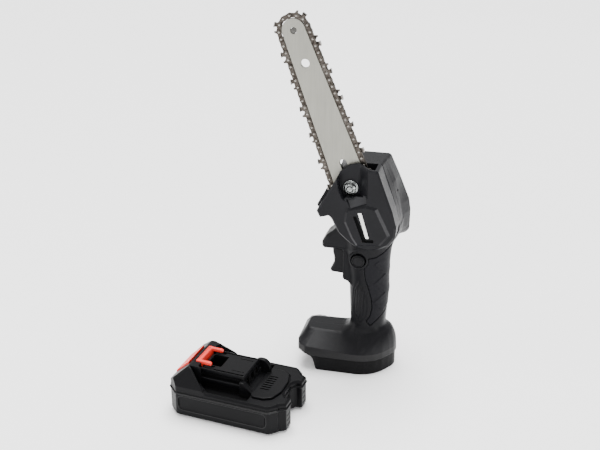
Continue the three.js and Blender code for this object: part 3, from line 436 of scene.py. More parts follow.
OCTAGON = [(6.9, 174.3), (23.5, 178.6), (34.7, 176.6), (47.2, 151), (38, 139.4), (15.3, 137.2), (10.3, 144.5), (3.4, 160), (4.2, 170.1)]
HALF_PLAN = [(53.2, 0), (52.2, -6.5), (48.4, -13.5), (42.8, -21.8), (35.6, -28.8), (27.5, -32.4), (19, -34), (-32, -34), (-40, -28.5), (-42.6, -19)]
BASE_HALF = [(52.4, 0), (51.2, -6.3), (47.4, -13), (42, -21), (34.8, -27.8), (27, -31.4), (19, -33), (-21, -33), (-23, -31)]
DECK_HALF = [(46.2, 0), (44.4, -9), (38, -15.5), (26, -17), (4, -15), (-33.5, -12.5), (-35.8, -8)]
mir = lambda h: h + [(x, -y) for x, y in h[:0:-1]]
FOOT, BASE, DECK = mir(HALF_PLAN), mir(BASE_HALF), mir(DECK_HALF)
GRIP = np.array([[24, 1, 47, 18], [36.5, 4.6, 43.6, 16.3], [44, 7.2, 41.2, 15.2], [82, 5.3, 43.4, 15.8], [98, 4.6, 42.8, 16.2], [114, 2.5, 43.3, 17], [128, .5, 44.8, 18.6], [144, .5, 51, 22], [160, .5, 53, 22]], float)
RUB = [(70, 133), (46, 133), (38.8, 125.6), (32.2, 120.9), (24.6, 118.9), (20.0, 113), (21.6, 106.5), (22.9, 96), (26.5, 85.2), (29.2, 74.7), (30, 66), (28.3, 57), (24.5, 50.6), (28.6, 46.4), (36.2, 54.7), (43.7, 64.5), (70, 82)]
LEAF = [(13.6, 93.2), (10.9, 83.3), (10.6, 72.4), (11.4, 59.2), (14.6, 50.8), (18.6, 47.5), (24.6, 55.6), (26.2, 66.9), (24.6, 78), (19.6, 88)]
BTN = (15.8, 116.6, 6.4)
stud = (SPR[0] + 37.2 * math.sin(TILT), SPR[1] + 37.2 * math.cos(TILT))


def grip_field(V):
    z = V.Z[0, 0, :]
    x0, x1, hy = (smooth1(z, GRIP[:, 0], GRIP[:, i])[None, None, :] for i in (1, 2, 3))
    cx, hx = (x0 + x1) / 2, (x1 - x0) / 2
    p = 2.5
    ax, ay = np.abs(V.X - cx), np.abs(V.Y) + F(0)
    f = ((ax / hx) ** F(p) + (ay / hy) ** F(p) + F(1e-9)) ** F(1 / p)
    g = f ** F(1 - p) * np.sqrt((ax ** F(p - 1) / hx ** F(p)) ** 2 + (ay ** F(p - 1) / hy ** F(p)) ** 2)
    return (f - 1) / np.maximum(g, F(0.02))


def foot_field(V):
    X, Y, Z = V.X, V.Y, V.Z
    zl = F(15.5) + F(0.0048) * np.clip(F(-13) - X, 0, 27) ** 2     # lower edge of the band
    zu = F(22.9) - F(0.075) * np.clip(X, -40, 8)       # upper edge of the band
    zt = F(35.6) + F(0.142) * np.clip(X, 0, 46)        # deck
    dF, dB, dD = poly(fil(FOOT, [14, 14, 14, 14, 14, 14, 14, 5, 4, 4] + [4, 4, 5, 14, 14, 14, 14, 14, 14]), X, Y), poly(fil(BASE, [14, 14, 14, 14, 14, 14, 14, 5, 4] + [4, 5, 14, 14, 14, 14, 14, 14]), X, Y), poly(fil(DECK, [12, 12, 12, 8, 6, 4, 4] + [4, 4, 6, 8, 12, 12]), X, Y)
    s = np.clip(Z / zl, 0, 1)
    s = s + F(0.09) * np.sin(F(2 * math.pi) * s)
    low = (dB * (1 - s) + (dF + F(0.75)) * s)
    t = np.clip((Z - zu) / (zt - zu), 0, 1.3)
    tb = np.clip(t, 0, 1) ** (1 + F(1.3) * np.clip((X - F(18)) / F(20), 0, 1)) + np.maximum(t - 1, 0)
    up = (dF + F(0.3)) * (1 - tb) + dD * tb
    d = np.where(Z < zl, low + F(0.3), np.where(Z > zu, up, dF + F(0.05) * np.clip(Z - (zl + zu) / 2, -9, 9)))
    d = np.where(X > 14, smax(d, Z - zt, 5.0), smax(d, Z - zt, 1.6))
    return np.maximum(d * F(0.9), -Z)


def head_field(V):
    X, Y, Z = V.X, V.Y, V.Z
    a = poly(fil(HEAD_NEAR, 2.5), X, Z)
    b = poly(fil(HEAD_MID, 2.5), X, Z)
    c = poly(fil(HEAD_FAR, [2.2] * 7 + [8, 7, 7, 7, 5, 4, 4, 2.2, 2.2]), X, Z)
    d = lerp(Y, [(-8, a), (8, b), (24.5, c), (27.5, c + F(3))])
    return smax(np.maximum(d, F(-8) - Y), Y - F(27.5), 2.2)


def button_ring(V, s):
    d = cylY(V, BTN[0], BTN[1], BTN[2] + 2.9, *((-18.4, -12) if s < 0 else (12, 18.4)), k=1.6)
    return d


def housing_half(side):
    h = 0.42
    V = Vol((-45, -35.5 if side < 0 else -0.7, -1.5), (60.5, 0.7 if side < 0 else 35.5, 214.5), h)
    X, Y, Z = V.X, V.Y, V.Z
    head = head_field(V)
    g = grip_field(V)
    d = smin(head, np.maximum(np.maximum(g, Z - F(150)), F(28) - Z), 5.0)
    horn = smax(poly(fil(HORN, [3, 2, 1.5, 0, 0, 0, 3, 4]), X, Z), np.abs(Y) - F(13), 4.5)
    d = smin(d, horn, 2.5)
    col = smax(poly([(-0.8, 93), (0.8, 91), (4, 90), (7, 87), (14, 86), (14, 126), (-0.8, 126)], X, Z), np.abs(Y) - F(11.5), 2.5)
    d = smin(d, col, 2.0)
    foot = foot_field(V)
    kk = F(9.5) - F(5.0) * np.clip((X - F(26)) / F(14), 0, 1)
    hh = np.clip(F(0.5) + F(0.5) * (foot - d) / kk, 0, 1)
    d = foot * (1 - hh) + d * hh - kk * hh * (1 - hh)
    d = smin(d, button_ring(V, side), 1.6)
    solid = d
    # the wall
    shell = np.maximum(solid, -(solid + F(2.6)))
    # rubber bed and fluted leaf
    rub = poly(RUB, X, Z)
    bed = np.maximum(rub - F(0.35), -(g + F(1.5)))
    bed = np.maximum(bed, -(g + F(1.5)))
    zone = np.maximum(np.maximum(rub - F(0.35), -(g + F(1.45))), g - F(4))
    zone = np.maximum(zone, F(9.6) - np.sqrt((X - F(BTN[0])) ** 2 + (Z - F(BTN[1])) ** 2))
    shell = np.maximum(shell, -zone)
    liner = np.maximum(np.maximum(g + F(1.45), -(g + F(3.6))), rub - F(1.5))
    liner = np.maximum(liner, np.maximum(Z - F(132), F(44) - Z))
    shell = np.minimum(shell, liner)
    leaf = poly(fil(LEAF, 4), X, Z)
    # flutes: four fine channels in the front part of the leaf, a groove along its front edge
    bend = F(0.028) * (Z - F(70)) + F(0.0016) * (Z - F(70)) ** 2
    fl = F(0)
    for xg, z0, z1, dep in ((13.0, 55, 85.5, 0.55), (15.3, 53, 88.5, 0.7), (17.8, 54, 88.0, 0.7), (20.6, 57, 84, 0.55)):
        win = np.clip((Z - F(z0)) / F(5), 0, 1) * np.clip((F(z1) - Z) / F(5), 0, 1)
        fl = fl + F(dep) * np.exp(-((X - F(xg) - bend) / F(0.72)) ** 2) * win
    front = line([(15.6, 92.5), (11.6, 84), (10.7, 72.4), (11.5, 59.2), (15.2, 50.8)], X, Z)
    fl = fl + F(0.5) * np.exp(-(front / F(0.55)) ** 2) + F(0.28) * np.clip(-leaf / F(1.0), 0, 1)
    shell = shell + np.where((np.abs(g) < 2.2) & (np.abs(Y) > 5), fl.astype(F), F(0))
    # openings
    cuts = [bx(V, -40, 5, -9.6, 9.6, 94.6, 122.9), bx(V, -4, 14, -9.6, 9.6, 93.2, 120),
            cylY(V, BTN[0], BTN[1], BTN[2] + 0.95, -40, 40), cylY(V, SPR[0], SPR[1], 8.3, -9, -1),
            cylY(V, stud[0], stud[1], 3.3, -20, 5)]
    ins = poly([(x if x > -20 else x - 30, (y if x > -20 else math.copysign(30.6, y))) for x, y in
                [(49.6, 0), (48.7, -5.4), (45.3, -11.8), (40.0, -19.6), (33.4, -25.8), (26.2, -29.3), (18.7, -30.8), (-28.9, -30.8), (-36.6, -26), (-40, -9),
                 (-40, 9), (-36.6, 26), (-28.9, 30.8), (18.7, 30.8), (26.2, 29.3), (33.4, 25.8), (40.0, 19.6), (45.3, 11.8), (48.7, 5.4)]], X, Y)
    dock = np.maximum(ins, Z - F(22.5))
    shell = np.minimum(shell, np.maximum(solid, np.maximum(F(22.5) - Z, Z - F(25.2))))   # dock ceiling
    for c in cuts + [dock]:
        shell = np.maximum(shell, -c)
    shell = np.minimum(shell, np.maximum(np.maximum(solid, X + F(34)), F(17.5) - Z))          # front lip
    rail = bx(V, -18, 38, 14, 31.5, 3.7, 7.0, 0.6) if side > 0 else bx(V, -18, 38, -31.5, -14, 3.7, 7.0, 0.6)
    shell = np.minimum(shell, np.maximum(rail, solid))
    shell = np.maximum(shell, -bx(V, -60, -20, -26, 26, -3, 15.5))
    if side > 0:
        # motor side: screw wells, cooling slots and a stepped panel line
        for x, z in [(-13.5, 176), (3, 203.5), (29, 205.5), (44, 181), (4.2, 149.5), (24.5, 60), (-24, 27.5)]:
            r = np.sqrt((X - F(x)) ** 2 + (Z - F(z)) ** 2)
            shell = np.maximum(shell, -np.maximum(r - F(3.2), F(6) - Y))
            tube = np.maximum(np.maximum(r - F(4.4), F(3.3) - r), solid)
            shell = np.minimum(shell, np.maximum(tube, F(5) - Y))
        for i in range(5):
            z = 140 + i * 6
            slot = bx(V, 34.551 - 13, 34.551 + 13, 21.5, 40, z, z + 2.4, 0.9)
            shell = np.maximum(shell, -slot)
        ringl = np.abs(poly(fil([(14, 134.5), (56, 134.5), (56, 168), (50, 186), (14, 186)], 6), X, Z)) - F(0.35)
        shell = np.maximum(shell, -np.maximum(ringl, F(26.9) - Y))
    part_y = (Y - F(0.14)) if side < 0 else (F(-0.14) - Y)
    shell = np.maximum(shell, part_y)
    return V, shell


def foot_light_zone(c):
    """band round the foot painted lighter as a highlight, and the skirt below it painted darker as shade"""
    x, z = c[:, 0], c[:, 2]
    zl = 15.5 + 0.0048 * np.clip(-13 - x, 0, 27) ** 2
    zu = 22.9 - 0.075 * np.clip(x, -40, 8)
    out = (z < zu) & (z >= zl)
    return np.where(z < zl, 2, np.where(out, 1, 0)).astype(np.int32)


for side, nm in ((-1, "left"), (1, "right")):
    V, D = housing_half(side)
    # the foot's band and skirt take the painted highlight and painted shade materials
    skin("shell_" + nm, V, D, [M_SHELL, M_BAND_HIGHLIGHT, M_SKIRT_SHADE], "saw", ["housing_" + nm], foot_light_zone)
    del V, D

# ------------------------------------------------------------------ chain cover
BEV = {2: 3.0, 0: 1.7, 1: 1.9, 6: 2.8, 7: 2.4, 5: 2.8, 8: 1.8, 3: 2.2}          # bevel widths of the raised panel, edge by edge


def chain_cover():
    V = Vol((-24.5, -33.2, 131.5), (54, -6.6, 217), 0.3)
    X, Y, Z = V.X, V.Y, V.Z
    cov = poly(fil(COVER, [1.8, 1.2, 3, 2, 3, 4, 4, 4, 4, 5, 5, 4, 4, 4, 6, 6, 3.5, 3, 6, 6, 5, 5]), X, Z)
    right = np.clip((X - F(36)) / F(6), 0, 1)
    d = cmax(cov, F(-30) - Y, 1.6)
    d2 = cmax(cov, F(-30) - Y, 2.2)
    d = d * (1 - right) + d2 * right
    # raised octagon: flat top, a broad bevel on the hand side, narrow ones elsewhere
    pts = OCTAGON
    H = None
    area = sum(a[0] * b[1] - b[0] * a[1] for a, b in zip(pts, pts[1:] + pts[:1]))
    for i, (a, b) in enumerate(zip(pts, pts[1:] + pts[:1])):
        ex, ez = b[0] - a[0], b[1] - a[1]
        L = math.hypot(ex, ez)
        s = 1 if area > 0 else -1
        q = ((X - F(a[0])) * F(-ez / L * s) + (Z - F(a[1])) * F(ex / L * s))
        wide = BEV.get(i, 1.8)
        q = q * F(1.9 / wide)
        H = q if H is None else np.minimum(H, q)
    H = np.clip(H, F(0), F(1.9))
    plate = np.maximum(F(-30) - H - Y, cov + F(1.2))
    plate = np.maximum(plate * F(0.86), Y + F(27))
    plate = np.where(H > 0, plate, F(5))
    d = np.minimum(d, plate)
    d = np.maximum(d, Y + F(8.3))
    d = np.maximum(d, -np.maximum(poly(COVER_IN, X, Z), F(-27.6) - Y))
    pk = poly(fil([(-3.2, 240), (-3.4, 200.7), (-2.2, 191.5), (1.2, 184), (4.8, 180.8), (21.6, 184.2), (25.4, 187), (26.2, 194), (25.6, 204), (23, 240)], [0, 6, 5, 4, 4, 4, 3, 5, 5, 0]), X, Z)
    sag = np.clip(X - F(15.6), 0, 12)
    ys = F(-20.4) - sag * F(1.0) - F(0.35) * np.clip(F(1.5) - np.abs(X - F(15.6)), 0, 2)
    tub = np.maximum(np.maximum(pk - F(2), (Y - ys - F(2.6)) * F(0.72)), np.maximum(F(-29.6) - Y, cov))
    d = np.minimum(d, tub)
    d = np.maximum(d, -np.maximum(pk - np.clip((F(-28.6) - Y), 0, 3) * F(0.5), (Y - ys) * F(0.72)))
    trap = poly(fil([(5.2, 182.8), (23.6, 186.8), (23.9, 179.5), (9.5, 174.2)], [0, 0, 0.8, 0.8]), X, Z)
    plane = Y - (F(-30) + (Z - F(174.4)) * F(0.46))
    d = np.minimum(d, np.maximum(np.maximum(trap - F(1.8), plane * F(0.92) - F(2.4)), np.maximum(F(-29.9) - Y, Z - F(184.6))))
    d = np.maximum(d, -np.maximum(trap, plane * F(0.92)))
    ell = poly(fil([(12.2, 167.5), (15.2, 167.5), (24.6, 144.9), (31.8, 145.6), (31.8, 142.8), (21.6, 142.4)], 0.4), X, Z)
    d = np.maximum(d, -np.maximum(ell, Y + F(29.9)))
    lab = poly([(16.0, 171.6), (20.3, 172.0), (28.2, 146.0), (24.2, 145.8)], X, Z)
    d = np.maximum(d, -np.maximum(lab, Y + F(31.2)))
    d = np.maximum(d, -cylY(V, stud[0], stud[1], 3.4, -40, 0))
    # painted shade (index 1) in the L-shaped recess beside the label; painted highlight (index 2) on the broad bevels
    # of edges 2, 5 and 6 and on the ramp under the nut
    inside = [(11.9, 167.9), (15.4, 167.9), (24.8, 145.2), (32.2, 145.9), (32.2, 142.4), (21.3, 142.1)]

    def pick(c):
        m = poly(inside, c[:, 0].astype(F), c[:, 2].astype(F)) < 0
        out = (m & (c[:, 1] > -31.6) & (c[:, 1] < -29.3)).astype(np.int32)
        hh = np.full(len(c), 9.0, dtype=F)
        hot = np.zeros(len(c), bool)
        for i, (a, b) in enumerate(zip(pts, pts[1:] + pts[:1])):
            ex, ez = b[0] - a[0], b[1] - a[1]
            L = math.hypot(ex, ez)
            s = 1 if area > 0 else -1
            q = (c[:, 0] - a[0]) * (-ez / L * s) + (c[:, 2] - a[1]) * (ex / L * s)
            wd = BEV.get(i, 1.8)
            hot = np.where(q / wd < hh, i in (2, 5, 6), hot)
            hh = np.minimum(hh, q / wd)
        out[hot & (hh > 0.06) & (hh < 0.97) & (c[:, 1] < -30.05) & (out == 0)] = 2
        tr = poly([(5.2, 182.8), (23.6, 186.8), (23.9, 179.5), (9.5, 174.2)], c[:, 0].astype(F), c[:, 2].astype(F)) < -0.2
        on = np.abs(c[:, 1] - (-30 + (c[:, 2] - 174.4) * 0.46)) < 0.5
        out[tr & on & (out == 0)] = 2
        return out
    skin("cover_shell", V, d, [M_COVER, M_PAINTED_SHADE, M_BEVEL_HIGHLIGHT], "saw", ["chain_cover"], pick)


chain_cover()
V = Vol((14, -32.7, 144.5), (29.5, -30.7, 173), 0.16)
d = poly(fil([(16.5, 171.2), (19.9, 171.5), (27.5, 146.5), (24.5, 146.3)], 0.35), V.X, V.Z)
d = cmax(d, np.abs(V.Y + F(31.6)) - F(0.38), 0.2)
skin("label_strip", V, d, M_LABEL, "saw", ["label_plate"])


# ------------------------------------------------------------------ rubber grips
def grip_piece(side):
    V = Vol((21.3, -19.4 if side < 0 else -0.6, 43.6), (49.5, 0.6 if side < 0 else 19.4, 134.6), 0.3)
    X, Y, Z = V.X, V.Y, V.Z
    g = grip_field(V)
    rub = poly(fil(RUB, [0, 3, 2, 2, 1.5, 1, 4, 6, 4, 4, 4, 3, 1.5, 2, 6, 3, 0]), X, Z)
    zm = np.mod(Z - F(92.2) + F(10.25), F(20.5)) - F(10.25)
    f = ((X - F(31.3)) - np.abs(zm)) * F(0.707)
    on = np.clip((f + F(0.25)) / F(0.5), 0, 1)
    bump = on * (F(0.62) - F(0.5) * np.clip(f / F(5.5), 0, 1)) + F(0.22) * np.exp(-(f / F(0.7)) ** 2)
    fade = np.clip((-rub - F(0.9)) / F(1.2), 0, 1) * np.clip((F(119) - Z) / F(4), 0, 1) * np.clip((Z - F(60)) / F(4), 0, 1)
    out = g - F(0.25) - bump * fade
    d = cmax(out, rub + F(0.12), 0.55)
    d = np.maximum(d, -(g + F(1.2)))
    d = np.maximum(d, -(np.sqrt((X - F(BTN[0])) ** 2 + (Z - F(BTN[1])) ** 2) - F(BTN[2] + 3.4)))
    d = np.maximum(d, Z - F(132.4))
    d = cmax(d, (Y + F(0.17)) if side < 0 else (F(0.17) - Y), 0.3)
    skin("grip_pad_" + ("left" if side < 0 else "right"), V, d, M_RUBBER, "saw",
         ["grip_left" if side < 0 else "grip_right"])


grip_piece(-1)
grip_piece(1)

# ------------------------------------------------------------------ trigger and safety button
V = Vol((-15, -10.2, 94.4), (10.2, 10.2, 123.4), 0.3)
X, Y, Z = V.X, V.Y, V.Z
TR = [(6.6, 119.0), (-11.1, 119.0), (-10.0, 115), (-9.6, 108.5), (-11.2, 104), (-13.3, 100.4), (-13.0, 98.4), (-11.4, 97.2), (6.6, 96.0)]
TRX = [(6.6, 128), (-11.4, 128), (-11.0, 118.4), (-9.9, 114), (-9.6, 108.5), (-11.2, 104), (-13.3, 100.4), (-13.0, 98.4), (-11.4, 97.2), (6.6, 96.0)]
d = smax(poly(fil(TRX, [0, 1, 6, 6, 6, 6, 2, 1, 2.2, 0]), X, Z), np.abs(Y) - F(9.2), 3.0)
d = np.maximum(d, np.maximum(Z - F(122.6), np.minimum(Z - F(119.6), X + F(0.7))))
d = np.maximum(d, -np.maximum(bx(V, -1, 20, -6.5, 6.5, 98.6, 116.6), F(1) - np.abs(Y) * (X < 30)))
d = np.maximum(d, -bx(V, 3.6, 20, -12, 12, 109.6, 126))
d = np.minimum(d, bx(V, -1.5, 3.6, -1, 1, 98, 117))
d = np.minimum(d, bx(V, 3.5, 6.4, -1, 1, 98, 109))
skin("trigger_lever", V, d, M_BLACK, "trigger", ["trigger"])

V = Vol((BTN[0] - 7.2, -21.6, BTN[1] - 7.2), (BTN[0] + 7.2, 18.6, BTN[1] + 7.2), 0.25)
r = np.sqrt((V.X - F(BTN[0])) ** 2 + (V.Z - F(BTN[1])) ** 2)
cap = smax(r - F(6.3), np.maximum(F(-20.6) - V.Y + F(0.22) * np.clip(F(1) - (r / F(4.9)) ** 2, 0, 1) * F(1.6), V.Y + F(13.8)), 1.5)
cap2 = smax(r - F(6.35), np.maximum(F(13.8) - V.Y, V.Y - F(17.6)), 1.5)
ringmark = np.maximum(np.abs(r - F(4.9)) - F(0.22), V.Y + F(20.1))
cap = np.maximum(cap, -ringmark)
pin = np.maximum(r - F(3), np.abs(V.Y) - F(14.4))
d = np.minimum(np.minimum(cap, cap2), pin)
skin("safety_button", V, d, M_BLACK, "lock_button", ["lock_button"])

# ------------------------------------------------------------------ battery
HV = 37.0
PLAN_H = [(0, 9.5), (9.5, 0), (99.8, 0), (107, 7), (107, 8.6), (113, 12), (113, 24), (107.5, 24), (104, 30)]
PLAN = PLAN_H + [(a, 74 - b) for a, b in PLAN_H[::-1]]
PLAN_R = fil(PLAN, [2, 3, 3, 2, 0.6, 1.6, 1.4, 0.8, 2] + [2, 0.8, 1.4, 1.6, 0.6, 2, 3, 3, 2])
PACK_IN = [(2.4, 10.5), (10.5, 2.4), (98.9, 2.4), (101.7, 5.2), (101.7, 68.8), (98.9, 71.6), (10.5, 71.6), (2.4, 63.5)]


def pack_lower():
    V = Vol((-1.2, -1.2, -0.9), (114.4, 75.2, 26.2), 0.3)
    u, v, w = V.X, V.Y, V.Z
    plan = poly(PLAN_R, u, v)
    ww = V.Z[0, 0, :]
    off = smooth1(ww, [0, 22.2, 23.2, 23.9, 24.7, 25.2], [0.3, 0.3, 0.3, -0.75, -0.75, 0.1], 0.2)[None, None, :]
    d = cmax(plan + off, -w, 2.6)
    d = np.maximum(d, w - F(25.2))
    vm = np.minimum(v, F(74) - v)
    rr = poly(fil([(10.6, 7.2), (97.6, 7.2), (97.6, 21.8), (10.6, 21.8)], 4.5, 8), u, w)
    d = np.maximum(d, -np.maximum(rr + vm * F(0.45), vm - F(1.25)))
    # outlined window inside the recess
    rin = np.abs(rr + F(1.5)) - F(0.42)
    d = np.maximum(d, -np.maximum(np.maximum(rin, vm - F(1.95)), F(42) - np.abs(u - F(54.1))))
    # end faces: recess towards the user and finger scallops between the lugs
    e = smax(np.abs(v - F(37)) - F(20), np.abs(w - F(13.5)) - F(7.5), 4.0)
    d = np.maximum(d, -np.maximum(e, u - F(1.0)))
    e2 = smax(np.abs(v - F(37)) - F(5.4), np.abs(w - F(13)) - F(8), 3.0)
    d = np.maximum(d, -np.maximum(e2, F(102.9) - u))
    for vc in (18.0, 56.0):                                         # ribs on the lugs
        for wc in (6.5, 11.5, 16.5):
            d = np.maximum(d, -np.maximum(np.maximum(np.abs(v - F(vc)) - F(4.0), np.abs(w - F(wc)) - F(0.5)), F(112.3) - u))
    d = np.maximum(d, -np.maximum(poly(PACK_IN, u, v), F(2.4) - w))

    # painted highlight (index 1) on the ridge at the split and on the walls of the side recess
    def pick(c):
        m = np.minimum(c[:, 1], 74 - c[:, 1])
        r2 = poly(fil([(10.6, 7.2), (97.6, 7.2), (97.6, 21.8), (10.6, 21.8)], 4.5, 8), c[:, 0].astype(F), c[:, 2].astype(F))
        ridge = (c[:, 2] > 24.1) & (c[:, 2] < 25.6) & (m < 6)
        wall = (m < 1.6) & (r2 > -0.45) & (r2 < 0.35)
        return (ridge | wall).astype(np.int32)
    skin("pack_lower", V, d, [M_PACK, M_RIDGE_HIGHLIGHT], "battery", ["battery_lower_case"], pick, True)


def pack_upper():
    V = Vol((-1.2, -1.2, 21.6), (114.4, 75.2, 47.6), 0.34)
    u, v, w = V.X, V.Y, V.Z
    vm = np.minimum(v, F(74) - v)
    plan = poly(PLAN_R, u, v)
    dp = poly(fil([(76, 11.5), (90, 11.5), (97.5, 16), (101.3, 28), (101.3, 46), (97.5, 58), (90, 62.5), (76, 62.5)], 5), u, v)
    deck = F(29.6) - F(0.9) * np.clip((dp - F(0.5)) / F(4), 0, 1) * (u > 79)
    d = cmax(plan + F(0.25), w - F(30.2), 2.0)
    d = np.maximum(d, F(25.5) - w)
    low = np.maximum(F(28.9) - w, F(0))
    # deck a little below the rim, D-shaped plateau with a groove round it
    rim = plan + F(2.2)
    sunk = np.maximum(np.maximum(rim, F(29.2) - w), -dp)
    d = np.maximum(d, -np.maximum(sunk, F(34) - u))
    gr = np.abs(dp - F(0.3)) - F(0.65)
    d = np.maximum(d, -np.maximum(np.maximum(gr, F(28.1) - w), F(77.5) - u))
    plate = np.maximum(np.maximum(dp + F(0.3), w - F(30.7)), F(27) - w)
    d = np.minimum(d, cmax(dp + F(0.35), np.abs(w - F(29)) - F(1.7), 0.4))
    # hump
    ramp_ = ((w - F(32.5)) * F(15.4) - (u - F(0.6)) * F(13.5)) / F(20.5)
    sidep = (w - F(33) - F(1.33) * (vm - F(1.2))) / F(1.664)
    rear = (u + vm - F(37) + (w - F(30)) * F(0.34)) / F(1.454)
    rear = np.maximum(rear, np.where(vm > 12.5, (u - F(21.6) + (w - F(46)) * F(0.3)), F(-9)))
    rear2 = (u + vm - F(37) + (w - F(30)) * F(0.34)) / F(1.454)
    hump = smax(smax(ramp_, w - F(46.2), 1.6), sidep, 1.6)
    hump = cmax(hump, np.where(vm > 14, F(-9), rear2), 0.9)
    hump = smax(hump, u - F(24.6) - np.clip((F(17) - vm), 0, 30) * F(1.0), 1.0)
    hump = np.maximum(np.maximum(hump, plan + F(0.3)), F(28) - w)
    hump = smax(hump, F(0.5) - u, 1.0)
    d = np.minimum(d, hump)
    humpf = hump
    # light frame round the button, a raised lip on the ramp: fr is computed but not added to the shape
    fr = np.maximum(np.abs(np.maximum(np.abs(v - F(37)) - F(18.6), F(-30) + np.abs(u - F(7)))) - F(0.8), ramp_ - F(0.5))
    # block with overhanging rails
    nose = ((w - F(42.5)) * F(0.10) + (u - F(68.0)) * F(0.995))
    blk = cmax(smax(np.abs(v - F(37)) - F(17.4), w - F(42.5), 0.8), nose, 0.5)
    blk = np.maximum(np.maximum(blk, F(18) - u), F(27) - w)
    neck = bx(V, 24, 66, 14, 23.6, 34.6, 39.3, 1.6)
    neck2 = bx(V, 24, 66, 50.4, 60, 34.6, 39.3, 1.6)
    blk = np.maximum(np.maximum(blk, -neck), -neck2)
    for g0, g1 in ((19.7, 20.6), (53.4, 54.3)):                    # long slot lines on the rails
        blk = np.maximum(blk, -bx(V, 29, 66.6, g0 + 1.1 if g0 < 30 else g0 - 1.9, (g1 + 1.9) if g0 < 30 else g1 - 1.1, 40.4, 60))
    for g0 in (26.2, 47.0):
        blk = np.maximum(blk, -bx(V, 52, 65.0, g0, g0 + 0.8, 41.5, 60))
    d = np.minimum(d, blk)
    # lower rail under the neck, shoulders beside the contact end
    rail = cmax(np.abs(vm - F(20.0)) - F(2.1), np.abs(w - F(32.7)) - F(1.8), 0.6)
    rail = np.minimum(rail, np.maximum(np.abs(vm - F(21.4)) - F(1.0), np.abs(w - F(29)) - F(3.5)))
    rail = np.maximum(rail, np.abs(u - F(47)) - F(23))
    d = np.minimum(d, rail)
    sh = (w - F(38.0)) * F(0.75) + (u - F(68.5)) * F(0.66)
    near = smax(smax(np.abs(v - F(18.2)) - F(2.4), sh, 0.8), w - F(38.2), 0.8)
    near = np.maximum(np.maximum(near, F(64.5) - u), F(24) - w)
    d = np.minimum(d, near)
    e = np.sqrt((u - F(70.5)) ** 2 + (w - F(33.5)) ** 2) - F(9.0)
    far = smax(smax(np.abs(v - F(55.6)) - F(2.4), e, 0.8), w - F(42.6), 1.0)
    far = np.maximum(np.maximum(far, F(63.5) - u), F(24) - w)
    d = np.minimum(d, far)
    # inside
    d = np.maximum(d, -np.maximum(poly(PACK_IN, u, v), w - F(27.4)))
    d = np.maximum(d, -np.maximum(np.maximum(humpf + F(2.7), np.abs(v - F(37)) - F(21)), F(25) - w))
    d = np.maximum(d, -bx(V, 22, 57, 26.5, 47.5, 26, 39.8))
    # channels for the foot's skirt
    for m in (False, True):
        P = [(36, 2.8), (78.6, 2.8), (78.6, 21.4), (20.5, 21.4), (26, 11)]
        C = [(38.5, 4.4), (77, 4.4), (77, 20), (24, 20), (29, 11.6)]
        if m:
            P = [(a, 74 - b) for a, b in P]
            C = [(a, 74 - b) for a, b in C]
        tub = np.maximum(poly(P, u, v), np.maximum(F(22.2) - w, w - F(29)))
        d = np.minimum(d, tub)
        keep = np.minimum(np.minimum(blk, rail), np.minimum(near, far))
        cutc = np.maximum(poly(C, u, v), F(23.8) - w)
        cutc = np.maximum(cutc, -keep)
        cutc = np.maximum(cutc, -(np.maximum(humpf, F(29.6) - w)))
        d = np.maximum(d, -cutc)
    # contact slots, catch recess, latch openings, vents
    for a, b in ((25.4, 28.8), (34.2, 39.8), (45.2, 48.6)):
        d = np.maximum(d, -bx(V, 58.5, 72, a, b, 31.4, 38, 0.4))
    d = np.maximum(d, -bx(V, 27, 41, 28, 46, 39, 60, 0.5))
    d = np.maximum(d, -bx(V, 18.4, 25, 22.4, 51.6, 38, 60))
    d = np.maximum(d, -bx(V, 18.4, 23.6, 22.4, 51.6, 34.6, 60))
    d = np.maximum(d, -bx(V, 11, 19, 29, 45, 38.2, 42.2))
    for a, b in ((22.4, 27), (47, 51.6)):
        d = np.maximum(d, -bx(V, 22, 36, a, b, 41, 60))
    d = np.maximum(d, -np.maximum(np.maximum(np.abs(v - F(37)) - F(16.5), u - F(13.3)), np.minimum(F(30) + (u - F(3.5)) * F(0.99), F(40)) - w))
    for i in range(7):
        d = np.maximum(d, -bx(V, 80.6, 89.6, 26.1 + i * 3.65, 27.5 + i * 3.65, 26, 34, 0.5))
    # front face grip ribs under the button; an outline for each shoulder (sp) is computed but not cut
    for i in range(3):
        d = np.maximum(d, -np.maximum(np.maximum(np.abs(w - F(27.2 + i * 1.7)) - F(0.32), np.abs(v - F(37)) - F(15)), u - F(1.2)))
    sp = np.abs(poly(fil([(6.5, 34.6), (19, 44.2), (23, 41.5), (30, 33.2), (30, 32.2), (8, 32.2)], 1.5), u, w)) - F(0.001)
    dark = [(52, 26.6), (52, 47.4), (41, 46), (27, 46), (27, 28), (41, 28)]

